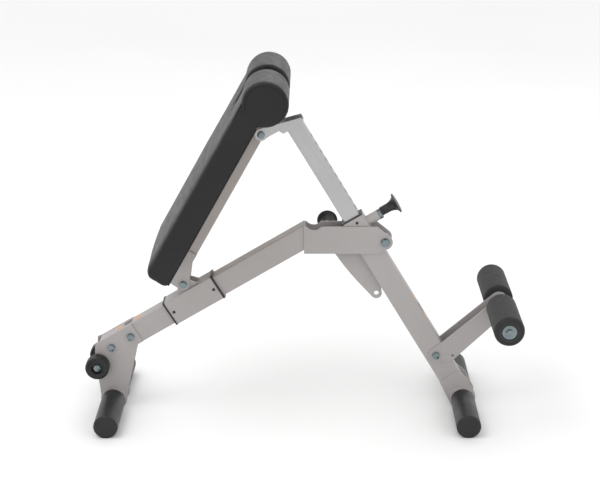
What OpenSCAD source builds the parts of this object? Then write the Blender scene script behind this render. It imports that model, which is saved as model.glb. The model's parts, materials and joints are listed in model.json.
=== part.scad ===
// Adjustable weight bench: one sloping beam, a folding front leg with a telescoping strut,
// a tilting pad on a sliding carriage, ankle rollers and transport wheels.
// Two drawing planes are used. The world frame has +Z up and the floor at z = 0.
// The beam frame has its origin where the beam axis meets the leg axis, X along the beam
// (uphill) and Z along the strut. The pad frame has its origin at the carriage pivot,
// X along the pad and Z out of its front face.

/* [Overall] */
// Slope of the beam; the leg stands square to it
beam_slope = 30.8; // [24:0.1:38]
// Distance along the beam from the rear foot to the leg axis
rear_run = 814; // [740:1:980]
// Depth of the rear foot below the beam axis, square to the beam
rear_drop = 128; // [118:1:160]
// Overall width of both feet
foot_width = 420; // [340:1:520]

/* [Beam] */
// Height of the beam tube
beam_h = 60; // [50:0.5:75]
// Width of the beam tube
beam_w = 45; // [40:0.5:60]
// Wall of the beam and leg tubes
tube_wall = 2.5; // [1.5:0.1:3.5]
// Corner radius of the square tubes
tube_corner = 4; // [2:0.1:5]
// Beam end behind the first bracket bolt
beam_tail = 20; // [18:1:36]
// First bracket bolt, measured along the beam from the rear foot
rear_bolt_run = 76; // [70:1:95]
// Spacing of the two bracket bolts
rear_bolt_pitch = 61; // [45:1:65]

/* [Plates] */
// Length of the hub behind the leg pivot
hub_len = 213; // [205:1:230]
// Height of the hub above the leg pivot
hub_above = 43; // [40:0.5:50]
// Depth of the hub below the leg pivot
hub_below = 31; // [26:0.5:36]
// Thickness of the hub and foot plates
plate_t = 4; // [3:0.1:6]
// Gap between the folding leg and each hub plate
swing_gap = 0.5; // [0.3:0.1:1]
// Radius of plate left around each foot tube
foot_plate_r = 36; // [33:0.5:40]

/* [Leg] */
// Depth of the leg tube
leg_d = 60; // [55:0.5:72]
// Leg top below the beam axis
leg_top_drop = 20.5; // [15:0.5:30]
// Leg pivot outside the leg face
pivot_out = 13; // [12.5:0.5:18]
// Leg pivot below the beam axis
pivot_drop = 119.5; // [116:0.5:126]
// Diameter of the leg pivot bolt
pivot_bolt_d = 12; // [10:0.5:14]
// Radius from the leg pivot to the fold lock holes
lock_radius = 152; // [148:1:154]
// Direction of the fold lock hole in use, from the beam axis
lock_angle = 141.5; // [140:0.5:143]
// Swing of the leg from standing to folded
fold_swing = 90; // [80:1:90]

/* [Strut] */
// Depth of the strut tube
strut_d = 45; // [38:0.5:48]
// Width of the strut tube
strut_w = 34; // [28:0.5:35]
// Wall of the strut tube
strut_wall = 2; // [1.5:0.1:3]
// Number of height holes
hole_count = 12; // [10:1:12]
// Spacing of the height holes
hole_pitch = 25; // [20:0.5:26]
// First height hole below the strut top
hole_first = 45; // [35:1:50]
// Diameter of both pull pins
pin_d = 12; // [8:0.5:13]
// Strut pin below the leg top
pin_drop = 31; // [26:1:40]
// Length of strut kept below the lowest hole
strut_tail = 143; // [110:1:150]

/* [Pad] */
// Length of the pad with its bolster
pad_len = 601; // [560:1:680]
// Overall width of the pad
pad_w = 380; // [300:1:440]
// Thickness of the pad
pad_t = 67; // [50:1:80]
// Radius of the bolster at the pad top
bolster_r = 60; // [52:1:66]
// Gap between the two bolster lobes
slit_w = 54; // [52:1:70]
// Pivot to pivot length of the pad frame
pad_link = 460; // [430:1:480]
// Pad back above the carriage pivot
pad_rise = 47; // [45:1:54]
// Depth of the pad frame tube
frame_d = 40; // [34:1:42]
// Width of the pad frame tube
frame_w = 40; // [34:1:41]
// Carriage pivot above the beam axis
carriage_pivot_rise = 53; // [52:0.5:60]
// Bracket pivot above the strut top
bracket_rise = 27; // [24:1:32]
// Bracket pivot in front of the strut axis
bracket_reach = 85; // [80:1:95]

/* [Rollers] */
// Diameter of the foam rollers
roller_d = 80; // [60:1:100]
// Overall width across both rollers
roller_span = 410; // [340:1:460]
// Roller axis in front of the leg axis
roller_out = 217; // [190:1:250]
// Roller axis above the front foot, along the leg
roller_up = 178.5; // [165:0.5:195]
// Arm bolt above the front foot, along the leg
arm_bolt_up = 145; // [135:1:155]
// Diameter of the roller axle
axle_d = 25; // [20:0.5:28]

/* [Feet and wheels] */
// Diameter of the foot tubes
foot_tube_d = 60; // [48:0.5:62]
// Rubber sleeve around each foot tube
sleeve_t = 2; // [1.5:0.1:3]
// Flat ground on the underside of each sleeve
sleeve_flat = 0.8; // [0.4:0.1:1]
// Diameter of the transport wheels
wheel_d = 64; // [44:1:70]
// Width of each transport wheel
wheel_w = 30; // [20:1:40]
// Wheel axle behind the rear foot
wheel_back = 38; // [34:1:42]
// Wheel axle above the rear foot
wheel_up = 100; // [94:1:110]

/* [Hidden] */

$fn = 48;
near = -1;                       // side of -Y, where the rest of the bench is seen from
far = 1;
run_fit = 0.05;                  // radial clearance of a shaft that turns or slides
slide_fit = 0.25;                // clearance of a plastic liner on a sliding tube
face_gap = 0.4;                  // clearance between faces that swing past each other

// Standing geometry
foot_r = foot_tube_d / 2;
sleeve_r = foot_r + sleeve_t;
foot_z = sleeve_r - sleeve_flat;
leg_w = beam_w - 2 * swing_gap;
leg_face = leg_d / 2;
rear_rise = rear_run * sin(beam_slope) + rear_drop * cos(beam_slope);
front_drop = rear_rise / cos(beam_slope);
roller_r = roller_d / 2;
roller_b = roller_up - front_drop;
hub_from_rear = rear_run * cos(beam_slope) - rear_drop * sin(beam_slope);
roller_from_hub = roller_out * cos(beam_slope) - roller_b * sin(beam_slope);
span_back = wheel_back + wheel_d / 2;
span_front = hub_from_rear + roller_from_hub + roller_r;
rear_x = (span_back - span_front) / 2;
hub_x = rear_x + hub_from_rear;
hub_z = foot_z + rear_rise;

// Sleeves and wheels
sleeve_end = 4;                  // closed end of the sleeve
sleeve_start = 16;               // bare foot tube between the plate and the sleeve
sleeve_chamfer = 3;
floor_gap = 3;                   // foot plates above the floor
wheel_boss_r = 15;
wheel_recess = 9;
wheel_edge = 3;

// Bolts and pins
bolt_d = 10;
bolt_hex = 17;
bolt_head_h = 6.4;
nut_h = 8;
washer_t = 2;
pivot_hex = 19;
screw_d = 4;

// Beam and hub
rear_bolt_a = rear_bolt_run - rear_run;
beam_a0 = rear_bolt_a - beam_tail;
plate_in = beam_w / 2;
plate_out = plate_in + plate_t;
wheel_y = plate_out + 3;
cap_t = 3;
pivot_a = leg_face + pivot_out;
pivot_b = -pivot_drop;
pivot_x = hub_x + pivot_a * cos(beam_slope) - pivot_b * sin(beam_slope);
pivot_z = hub_z + pivot_a * sin(beam_slope) + pivot_b * cos(beam_slope);
hub_x0 = pivot_x - hub_len;
hub_nose_r = 20;
hub_nose_from = -68;
hub_nose_to = 52;
hub_shoulder = 21;
dip_r = 23.75;
dip_depth = 9.5;
dip_in = 26;

// Corners of the rear bracket plate, measured from the rear foot axis
rear_lip = 5;                    // beam end left bare behind the plate
rear_lap = 102;                  // length of beam that the plate covers
rear_shoulder = [71, 158];
rear_waist = [62, 126];
rear_back = [[-39, 52], [-46, 136], [-44, 160]];

// Fold lock
lock_lobe = 15;
quadrant_t = 6;
quadrant_bow = 7;                // bulge of its outer edge between the two lock holes
quadrant_top = -35;              // top of its joint with the leg, in the beam frame
lock_a = pivot_a + lock_radius * cos(lock_angle);
lock_b = pivot_b + lock_radius * sin(lock_angle);
park_a = pivot_a + lock_radius * cos(lock_angle + fold_swing);
park_b = pivot_b + lock_radius * sin(lock_angle + fold_swing);

// Pull pins, drawn along +X from the locked part's face
housing_d = 27;
housing_bore = 18;
end_cap_t = 3;
strut_housing_l = 43;
fold_housing_l = 30;
pin_collar_t = 3;
pin_collar_gap = 3;
pin_travel = 12;
pin_tip_gap = 0.6;
knob_neck_r = 12;
knob_flare_r = 27.5;
knob_l = 48;
knob_gap = 0.6;
spring_wire = 1.6;
spring_turns = 6;
spring_pitch = 1.3 * spring_wire;

// Leg and strut
front_plate_up = 72;             // top of the front foot plates above the foot axis
front_bulge = [9, 44];           // widest point of the plates, past the leg and above the foot
leg_top = -leg_top_drop;
bush_flange = 3;
bush_len = 66;
pin_b = leg_top - pin_drop;
strut_top = pin_b + hole_first + (hole_count - 1) * hole_pitch;
strut_bottom = pin_b - strut_tail;
glide_h = 14;
glide_plug = 20;

// Pad linkage
bracket_b = strut_top + bracket_rise;
bracket_a = -bracket_reach;
link_up = asin((bracket_b - carriage_pivot_rise) / pad_link);
carriage_a = bracket_a - pad_link * cos(link_up);
pivot_in = 16;                   // bracket pivot above the carriage pivot, out of the pad frame
pad_skew = asin(pivot_in / pad_link);
pad_angle = link_up - pad_skew;
bracket_s = pad_link * cos(pad_skew);
pad_s0 = 27;
pad_front = pad_rise + pad_t;
bolster_s = pad_s0 + pad_len - bolster_r;
bolster_t = pad_front + 2.5 - bolster_r;
slit_s = bolster_s - bolster_r - 38;
pad_nose_r = 26;
board_t = 12;
board_inset = 10;
frame_s0 = 24;
frame_s1 = bracket_s + 20;
frame_t0 = pad_rise - frame_d;
bar_t = 4;
bar_w = 30;
bar_len = 220;
bar_places = [90, 350];
lug_t = 4;
lug_r = 16.5;
lug_lap = 90;                    // length of the pad frame that the lugs cover
lug_heel = [[-14, 10], [-6, 0]]; // heel of the lug, below the top of the pad frame
bracket_t = 4;
bracket_base_t = 5;
bracket_round = 16;
bracket_lip = 13;                // height of the ears at the front end of the base
seat_gap = 0.02;                 // clearance under the base where it sits on the strut
bracket_base_b = strut_top + seat_gap;
bracket_in = frame_w / 2 + face_gap;
bracket_back = 34;
bracket_front = 26;

// Carriage
liner_t = 2.25;
liner_len = 28;
liner_flange = 4.5;
liner_proud = 1;                 // flange beyond the sleeve all round
carriage_wall = 2.5;
carriage_l = 145;
carriage_in_h = beam_h + 2 * (liner_t + slide_fit);
carriage_in_w = beam_w + 2 * (liner_t + slide_fit);
carriage_h = carriage_in_h + 2 * carriage_wall;
carriage_w = carriage_in_w + 2 * carriage_wall;
ear_t = 4;
ear_out = frame_w / 2 - face_gap;
ear_r = 16;
ear_heel = 30;
ear_toe = 36;

// Roller arm
front_b = -front_drop;
arm_b = front_b + arm_bolt_up;
arm_t = 3;
arm_end_r = 24;
arm_heel_r = 20;
arm_hole_d = 7;
core_t = 4.5;
core_flange = 3;
core_flange_r = 26;
roller_in = leg_w / 2 + arm_t + 2;
roller_end = roller_span / 2;
end_washer_r = 19;

c_frame = "#b3aeab";
c_black = "#1d1d1f";
c_foam = "#4a4b4d";
c_vinyl = "#333334";
c_zinc = "#9fb1b8";
c_steel = "#b9bcbe";
c_wood = "#c9a877";

// ---------- Helpers ----------

function arc(cx, cy, r, a0, a1, n = 12) =
    [for (i = [0 : n]) [cx + r * cos(a0 + (a1 - a0) * i / n), cy + r * sin(a0 + (a1 - a0) * i / n)]];

function round_rect(w, d, r, n = 4) = concat(
    arc(w / 2 - r, d / 2 - r, r, 0, 90, n),
    arc(r - w / 2, d / 2 - r, r, 90, 180, n),
    arc(r - w / 2, r - d / 2, r, 180, 270, n),
    arc(w / 2 - r, r - d / 2, r, 270, 360, n));

// World point [x, z] of a point in the beam frame
function world(a, b) = [
    hub_x + a * cos(beam_slope) - b * sin(beam_slope),
    hub_z + a * sin(beam_slope) + b * cos(beam_slope)];

module in_beam() {
    translate([hub_x, 0, hub_z]) rotate([0, -beam_slope, 0]) children();
}

module in_pad() {
    in_beam() translate([carriage_a, 0, carriage_pivot_rise]) rotate([0, -pad_angle, 0]) children();
}

// Flat plate drawn in X and Z, from y0 outwards on one side
module plate(points, side, y0, t) {
    translate([0, side * (y0 + t / 2), 0])
        rotate([90, 0, 0]) linear_extrude(t, center = true) polygon(points);
}

// Round bar or hole along Y
module across(x, z, d, y0, y1) {
    translate([x, y0, z]) rotate([-90, 0, 0]) cylinder(d = d, h = y1 - y0);
}

// Hexagon along Y, given across flats
module hex_across(x, z, af, y0, y1) {
    translate([x, y0, z]) rotate([-90, 0, 0]) cylinder(d = af / cos(30), h = y1 - y0, $fn = 6);
}

// Bolt along Y with its head on the near side and its nut on the far side
module cross_bolt(x, z, d, af, y) {
    across(x, z, d, -y, y + washer_t + nut_h + 3);
    hex_across(x, z, af, -y - washer_t - bolt_head_h, -y - washer_t);
    across(x, z, 2 * d, -y - washer_t, -y);
    difference() {
        union() {
            across(x, z, 2 * d, y, y + washer_t);
            hex_across(x, z, af, y + washer_t, y + washer_t + nut_h);
        }
        across(x, z, d, y - 1, y + washer_t + nut_h + 1);
    }
}

module tube_along_x(h, w, wall, r, x0, x1) {
    translate([x0, 0, 0]) rotate([90, 0, 90]) linear_extrude(x1 - x0) difference() {
        polygon(round_rect(w, h, r));
        polygon(round_rect(w - 2 * wall, h - 2 * wall, max(r - wall, 0.5)));
    }
}

module tube_along_z(d, w, wall, r, z0, z1) {
    translate([0, 0, z0]) linear_extrude(z1 - z0) difference() {
        polygon(round_rect(d, w, r));
        polygon(round_rect(d - 2 * wall, w - 2 * wall, max(r - wall, 0.5)));
    }
}

// Coil of round wire along +X
module coil(r, wire, length, turns) {
    sides = 8;
    steps = turns * 16;
    rings = [for (i = [0 : steps]) let (turn = 360 * turns * i / steps)
        [for (j = [0 : sides - 1]) let (q = 360 * j / sides, rr = r + wire / 2 * cos(q))
            [wire / 2 + (length - wire) * i / steps + wire / 2 * sin(q), rr * cos(turn), rr * sin(turn)]]];
    points = [for (ring = rings) for (p = ring) p];
    walls = [for (i = [0 : steps - 1]) for (j = [0 : sides - 1]) let (k = (j + 1) % sides)
        [i * sides + j, (i + 1) * sides + j, (i + 1) * sides + k, i * sides + k]];
    first = [[for (j = [0 : sides - 1]) j]];
    last = [[for (j = [0 : sides - 1]) steps * sides + sides - 1 - j]];
    polyhedron(points, concat(walls, first, last));
}

// Pull pin parts, along +X from the wall that carries the housing
module pull_housing(length) {
    difference() {
        cylinder_x(housing_d, 0, length);
        cylinder_x(housing_bore, -1, length - end_cap_t);
        cylinder_x(pin_d + 2 * run_fit, length - end_cap_t - 1, length + 1);
    }
}

module cylinder_x(d, x0, x1) {
    translate([x0, 0, 0]) rotate([0, 90, 0]) cylinder(d = d, h = x1 - x0);
}

module pull_pin(tip, length) {
    cylinder_x(pin_d, tip, length + knob_gap + 14);
    cylinder_x(housing_bore - 1, pin_collar_gap, pin_collar_gap + pin_collar_t);
}

module pull_spring(length) {
    x0 = pin_collar_gap + pin_collar_t + pin_travel + 0.3;
    room = length - end_cap_t - x0 - 0.2;
    turns = min(spring_turns, floor((room - spring_wire) / spring_pitch));
    translate([x0, 0, 0]) coil((pin_d + housing_bore) / 4, spring_wire, room, turns);
}

module pull_knob(length) {
    flare = 26;
    throat = knob_flare_r - knob_neck_r;
    profile = concat(
        [[0, 0], [knob_neck_r - 1, 0]],
        arc(knob_neck_r - 1, 1, 1, -90, 0, 3),
        [for (q = [0 : 9 : 90]) [knob_neck_r + throat * (1 - cos(q)), knob_l - 4 - flare * (1 - sin(q))]],
        arc(knob_flare_r - 1.5, knob_l - 2.5, 1.5, 0, 90, 4),
        [[0, knob_l]]);
    translate([length + knob_gap, 0, 0]) rotate([0, 90, 0]) difference() {
        rotate_extrude() polygon(profile);
        translate([0, 0, -1]) cylinder(d = pin_d, h = 15);
    }
}

module foot_tube(x, z) {
    difference() {
        across(x, z, foot_tube_d, sleeve_end - foot_width / 2, foot_width / 2 - sleeve_end);
        across(x, z, foot_tube_d - 2 * tube_wall, -foot_width, foot_width);
    }
}

// Trims a foot plate so that only the sleeves touch the floor
module floor_cut(x) {
    translate([x - foot_plate_r, -beam_w, -foot_plate_r])
        cube([2 * foot_plate_r, 2 * beam_w, foot_plate_r + floor_gap]);
}

// Closed rubber sleeve with a flat ground on its underside
module foot_sleeve(x, z, side) {
    y_in = plate_out + sleeve_start;
    y_out = foot_width / 2;
    translate([x, 0, z]) on_side(side) difference() {
        union() {
            across(0, 0, 2 * sleeve_r, y_in, y_out - sleeve_chamfer);
            translate([0, y_out - sleeve_chamfer, 0]) rotate([-90, 0, 0])
                cylinder(r1 = sleeve_r, r2 = sleeve_r - sleeve_chamfer, h = sleeve_chamfer);
        }
        across(0, 0, foot_tube_d + 2 * run_fit, y_in - 1, y_out - sleeve_end);
        translate([-sleeve_r, y_in - 1, -sleeve_r - 10])
            cube([2 * sleeve_r, y_out, 10 + sleeve_flat]);
    }
}

module on_side(side) {
    if (side > 0) children();
    else mirror([0, 1, 0]) children();
}

// ---------- Beam, hub and rear foot ----------

module main_beam() {
    color(c_frame) in_beam() difference() {
        tube_along_x(beam_h, beam_w, tube_wall, tube_corner, beam_a0, 0);
        for (i = [0, 1])
            across(rear_bolt_a + i * rear_bolt_pitch, 0, bolt_d, -beam_w, beam_w);
        rotate([0, beam_slope, 0]) translate([hub_x0 - hub_x, -beam_w, -2 * beam_h])
            cube([hub_len, 2 * beam_w, 4 * beam_h]);
    }
}

module beam_end_cap() {
    color(c_black) in_beam() {
        translate([beam_a0 - cap_t, 0, 0]) rotate([90, 0, 90]) linear_extrude(cap_t)
            polygon(round_rect(beam_w, beam_h, tube_corner));
        translate([beam_a0, 0, 0]) rotate([90, 0, 90]) linear_extrude(10)
            polygon(round_rect(beam_w - 2 * tube_wall, beam_h - 2 * tube_wall, 1.5));
    }
}

hub_outline = concat(
    [[hub_x0, pivot_z - hub_below], [pivot_x - hub_shoulder, pivot_z - hub_below]],
    arc(pivot_x, pivot_z, hub_nose_r, hub_nose_from, hub_nose_to, 14),
    [[pivot_x - hub_shoulder, pivot_z + hub_above], [hub_x0, pivot_z + hub_above]]);

module hub_plate(side) {
    lock = world(lock_a, lock_b);
    color(c_frame) difference() {
        plate(hub_outline, side, plate_in, plate_t);
        across(pivot_x, pivot_z, pivot_bolt_d, -beam_w, beam_w);
        across(hub_x0 + dip_in, pivot_z + hub_above - dip_depth + dip_r,
               2 * dip_r, -beam_w, beam_w);
        if (side == far) across(lock[0], lock[1], pin_d + 2 * run_fit, -beam_w, beam_w);
    }
}

// End wall between the hub plates, where the beam butts against the hub
module hub_end_wall() {
    color(c_frame) translate([hub_x0, -beam_w / 2, pivot_z - hub_below])
        cube([plate_t, beam_w, hub_below + hub_above]);
}

module hub_plate_near() { hub_plate(near); }
module hub_plate_far() { hub_plate(far); }

// Bracket plate: along the beam at the top, waisted above the foot, then round the foot tube
rear_outline = concat(
    [world(beam_a0 + rear_lip, beam_h / 2), world(beam_a0 + rear_lap, beam_h / 2),
     world(beam_a0 + rear_lap - 1, 1 - beam_h / 2),
     [rear_x + rear_shoulder[0], foot_z + rear_shoulder[1]],
     [rear_x + rear_waist[0], foot_z + rear_waist[1]]],
    arc(rear_x, foot_z, foot_plate_r, 15, -195, 24),
    [for (p = rear_back) [rear_x + p[0], foot_z + p[1]]]);

module rear_plate(side) {
    color(c_frame) difference() {
        union() {
            plate(rear_outline, side, plate_in, plate_t);
            on_side(side)
                across(rear_x - wheel_back, foot_z + wheel_up, 2 * wheel_boss_r, plate_in, plate_out);
        }
        floor_cut(rear_x);
        across(rear_x, foot_z, foot_tube_d, -beam_w, beam_w);
        across(rear_x - wheel_back, foot_z + wheel_up, bolt_d, -beam_w, beam_w);
        in_beam() for (i = [0, 1])
            across(rear_bolt_a + i * rear_bolt_pitch, 0, bolt_d, -beam_w, beam_w);
    }
}

module rear_plate_near() { rear_plate(near); }
module rear_plate_far() { rear_plate(far); }

module rear_bracket_bolts() {
    color(c_zinc) in_beam() for (i = [0, 1])
        cross_bolt(rear_bolt_a + i * rear_bolt_pitch, 0, bolt_d, bolt_hex, plate_out);
}

module rear_foot_tube() { color(c_frame) foot_tube(rear_x, foot_z); }
module rear_sleeve_near() { color(c_black) foot_sleeve(rear_x, foot_z, near); }
module rear_sleeve_far() { color(c_black) foot_sleeve(rear_x, foot_z, far); }

module transport_wheel(side) {
    color(c_black) translate([rear_x - wheel_back, 0, foot_z + wheel_up]) on_side(side)
        translate([0, wheel_y, 0]) rotate([-90, 0, 0]) difference() {
            rotate_extrude() polygon(concat(
                [[bolt_d / 2 + run_fit, 0]],
                arc(wheel_d / 2 - wheel_edge, wheel_edge, wheel_edge, -90, 0, 5),
                arc(wheel_d / 2 - wheel_edge, wheel_w - wheel_edge, wheel_edge, 0, 90, 5),
                [[bolt_d / 2 + run_fit, wheel_w]]));
            translate([0, 0, wheel_w - wheel_recess])
                cylinder(r = wheel_boss_r, h = wheel_recess + 1);
        }
}

module wheel_near() { transport_wheel(near); }
module wheel_far() { transport_wheel(far); }

module wheel_bolts() {
    x = rear_x - wheel_back;
    z = foot_z + wheel_up;
    head = wheel_y + wheel_w - wheel_recess + 0.5;
    color(c_zinc) for (side = [near, far]) on_side(side) {
        across(x, z, bolt_d, plate_in - nut_h, head + bolt_head_h);
        hex_across(x, z, bolt_hex, head, head + bolt_head_h);
        across(x, z, 2 * bolt_d, plate_out, wheel_y - 0.5);
        hex_across(x, z, bolt_hex, plate_in - nut_h, plate_in);
    }
}

module leg_pivot_bolt() {
    color(c_zinc) cross_bolt(pivot_x, pivot_z, pivot_bolt_d, pivot_hex, plate_out);
}

// Fold pin axis runs along +Y, out of the far hub plate
module on_fold_pin() {
    in_beam() translate([lock_a, plate_out, lock_b]) rotate([0, 0, 90]) children();
}

module fold_pin_housing() { color(c_frame) on_fold_pin() pull_housing(fold_housing_l); }
module fold_pin() {
    color(c_steel) on_fold_pin()
        pull_pin(quadrant_t / 2 + pin_tip_gap - plate_out, fold_housing_l);
}
module fold_pin_spring() { color(c_steel) on_fold_pin() pull_spring(fold_housing_l); }
module fold_pin_knob() { color(c_black) on_fold_pin() pull_knob(fold_housing_l); }

// ---------- Folding leg ----------

module leg_tube() {
    color(c_frame) in_beam() difference() {
        tube_along_z(leg_d, leg_w, tube_wall, tube_corner, front_b, leg_top - bush_flange);
        across(0, front_b, foot_tube_d, -leg_w, leg_w);
        across(0, arm_b, bolt_d, -leg_w, leg_w);
        translate([0, 0, pin_b]) cylinder_x(pin_d + 2 * run_fit, 0, leg_d);
    }
}

module leg_pivot_lug() {
    lug_w = leg_w;
    color(c_frame) in_beam() difference() {
        union() {
            across(pivot_a, pivot_b, 2 * pivot_out, -lug_w / 2, lug_w / 2);
            translate([leg_face, -lug_w / 2, pivot_b - pivot_out])
                cube([pivot_out, lug_w, 2 * pivot_out]);
        }
        across(pivot_a, pivot_b, pivot_bolt_d + 2 * run_fit, -lug_w, lug_w);
    }
}

module leg_bushing() {
    inner_d = strut_d + 2 * slide_fit;
    inner_w = strut_w + 2 * slide_fit;
    outer_d = leg_d - 2 * tube_wall;
    outer_w = leg_w - 2 * tube_wall;
    color(c_black) in_beam() difference() {
        union() {
            translate([0, 0, leg_top - bush_flange]) linear_extrude(bush_flange)
                polygon(round_rect(leg_d, leg_w, tube_corner));
            translate([0, 0, leg_top - bush_flange - bush_len]) linear_extrude(bush_len)
                polygon(round_rect(outer_d, outer_w, 1.5));
        }
        translate([0, 0, leg_top - bush_flange - bush_len - 1]) linear_extrude(bush_len + 10)
            polygon(round_rect(inner_d, inner_w, 3));
        translate([0, 0, pin_b]) cylinder_x(pin_d + 2 * run_fit, 0, leg_d);
    }
}

module leg_bushing_screws() {
    color(c_black) in_beam() for (side = [near, far]) on_side(side)
        across(6, leg_top - 16, 2 * screw_d, leg_w / 2, leg_w / 2 + 0.3);
}

quadrant_profile = concat(
    [[-leg_face, quadrant_top]],
    arc(lock_a, lock_b, lock_lobe, 60, 186, 12),
    [for (f = [0.125 : 0.125 : 0.875])
        [lock_a - lock_lobe - quadrant_bow * sin(180 * f), lock_b] * (1 - f)
        + [park_a - lock_lobe - quadrant_bow * sin(180 * f), park_b] * f],
    arc(park_a, park_b, lock_lobe, 186, 320, 12),
    [[-leg_face, park_b + lock_lobe - 3]]);
quadrant_outline = [for (p = quadrant_profile) [min(p[0], -leg_face), p[1]]];

module lock_quadrant() {
    color(c_frame) in_beam() difference() {
        plate(quadrant_outline, near, -quadrant_t / 2, quadrant_t);
        across(lock_a, lock_b, pin_d + 1, -leg_w, leg_w);
        across(park_a, park_b, pin_d + 1, -leg_w, leg_w);
    }
}

module on_strut_pin() {
    in_beam() translate([leg_face, 0, pin_b]) children();
}

module strut_pin_housing() { color(c_frame) on_strut_pin() pull_housing(strut_housing_l); }
module strut_pin() {
    color(c_steel) on_strut_pin()
        pull_pin(strut_d / 2 + pin_tip_gap - leg_face, strut_housing_l);
}
module strut_pin_spring() { color(c_steel) on_strut_pin() pull_spring(strut_housing_l); }
module strut_pin_knob() { color(c_black) on_strut_pin() pull_knob(strut_housing_l); }

front_outline = concat(
    [[-leg_face, front_b + front_plate_up], [leg_face, front_b + front_plate_up],
     [leg_face + front_bulge[0], front_b + front_bulge[1]]],
    arc(0, front_b, foot_plate_r, 8, -188, 24));

module front_plate(side) {
    color(c_frame) difference() {
        in_beam() plate(front_outline, side, leg_w / 2, plate_t);
        in_beam() across(0, front_b, foot_tube_d, -beam_w, beam_w);
        floor_cut(world(0, front_b)[0]);
    }
}

module front_plate_near() { front_plate(near); }
module front_plate_far() { front_plate(far); }

module front_foot_tube() { color(c_frame) foot_tube(world(0, front_b)[0], foot_z); }
module front_sleeve_near() { color(c_black) foot_sleeve(world(0, front_b)[0], foot_z, near); }
module front_sleeve_far() { color(c_black) foot_sleeve(world(0, front_b)[0], foot_z, far); }

// Underside of the arm: heel against the leg, then knee, then the run to the axle
arm_heel = [leg_face, arm_b - 37];
arm_knee = [leg_face + 34, arm_b - 28];
arm_lean = atan2(roller_b - (arm_b - 17), roller_out - leg_face);
function arm_under(r) = [roller_out + r * sin(arm_lean), roller_b - r * cos(arm_lean)];
arm_outline = concat(
    arc(0, arm_b, arm_heel_r, 110, 250, 12),
    [arm_heel + [1, 0], arm_knee],
    arc(roller_out, roller_b, arm_end_r, arm_lean - 90, arm_lean + 90, 14),
    [[leg_face + 3, arm_b + 24]]);
arm_web_outline = [
    arm_heel, arm_knee, arm_under(arm_end_r), arm_under(arm_end_r - arm_t),
    arm_knee + [0, arm_t], arm_heel + [0, arm_t]];

module roller_arm() {
    color(c_frame) in_beam() difference() {
        union() {
            for (side = [near, far]) plate(arm_outline, side, leg_w / 2, arm_t);
            plate(arm_web_outline, near, -leg_w / 2, leg_w);
        }
        across(0, arm_b, bolt_d, -beam_w, beam_w);
        across(leg_face + 8, arm_b - 24, arm_hole_d, -beam_w, beam_w);
        across(roller_out, roller_b, axle_d, -beam_w, beam_w);
    }
}

module roller_arm_bolt() {
    color(c_zinc) in_beam() cross_bolt(0, arm_b, bolt_d, bolt_hex, leg_w / 2 + arm_t);
}

// ---------- Ankle rollers ----------

module roller_axle() {
    reach = roller_end - core_flange;
    color(c_steel) in_beam() difference() {
        across(roller_out, roller_b, axle_d, -reach, reach);
        across(roller_out, roller_b, bolt_d, -reach - 1, -reach + 30);
        across(roller_out, roller_b, bolt_d, reach - 30, reach + 1);
    }
}

module roller_end_bolts() {
    y = roller_end - core_flange;
    color(c_zinc) in_beam() for (side = [near, far]) on_side(side) {
        across(roller_out, roller_b, bolt_d, y - 28, y + washer_t);
        across(roller_out, roller_b, 2 * end_washer_r, y + 1, y + 1 + washer_t);
        across(roller_out, roller_b, axle_d - 1, y, y + 1);
        hex_across(roller_out, roller_b, bolt_hex, y + 1 + washer_t, y + 1 + washer_t + bolt_head_h);
    }
}

module roller_core(side) {
    core_r = axle_d / 2 + core_t;
    y_out = roller_end - core_flange - 0.5;
    color(c_black) in_beam() translate([roller_out, 0, roller_b]) on_side(side) difference() {
        union() {
            across(0, 0, 2 * core_r, roller_in, y_out);
            across(0, 0, 2 * core_flange_r, y_out - core_flange, y_out);
        }
        across(0, 0, axle_d + 2 * run_fit, roller_in - 1, y_out + 1);
    }
}

module roller_foam(side) {
    core_r = axle_d / 2 + core_t;
    y_out = roller_end - 1;
    edge = 6;
    color(c_foam) in_beam() translate([roller_out, 0, roller_b]) on_side(side)
        translate([0, roller_in, 0]) rotate([-90, 0, 0]) difference() {
            rotate_extrude() polygon(concat(
                [[core_r, 0]],
                arc(roller_r - edge, edge, edge, -90, 0, 6),
                arc(roller_r - edge, y_out - roller_in - edge, edge, 0, 90, 6),
                [[core_r, y_out - roller_in]]));
            translate([0, 0, roller_end - core_flange - 0.5 - core_flange - roller_in])
                cylinder(r = core_flange_r, h = 20);
        }
}

module roller_core_near() { roller_core(near); }
module roller_core_far() { roller_core(far); }
module roller_foam_near() { roller_foam(near); }
module roller_foam_far() { roller_foam(far); }

// ---------- Telescoping strut and its bracket ----------

module strut_tube() {
    color(c_steel) in_beam() difference() {
        tube_along_z(strut_d, strut_w, strut_wall, 3, strut_bottom, strut_top);
        for (i = [0 : hole_count - 1])
            translate([0, 0, strut_top - hole_first - i * hole_pitch])
                cylinder_x(pin_d + 0.6, 0, strut_d);
    }
}

module strut_glide() {
    color(c_black) in_beam() {
        translate([0, 0, strut_bottom - glide_h]) linear_extrude(glide_h)
            polygon(round_rect(leg_d - 2 * tube_wall - 2 * slide_fit,
                               leg_w - 2 * tube_wall - 2 * slide_fit, 2));
        translate([0, 0, strut_bottom]) linear_extrude(glide_plug)
            polygon(round_rect(strut_d - 2 * strut_wall, strut_w - 2 * strut_wall, 1));
    }
}

bracket_outline = concat(
    arc(bracket_a, bracket_b, bracket_round, 80, 270, 16),
    [[bracket_a + 14, bracket_b - 14], [-bracket_back - 6, bracket_base_b + 12],
     [-bracket_back, bracket_base_b], [bracket_front, bracket_base_b],
     [bracket_front, bracket_base_b + bracket_lip]]);

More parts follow.
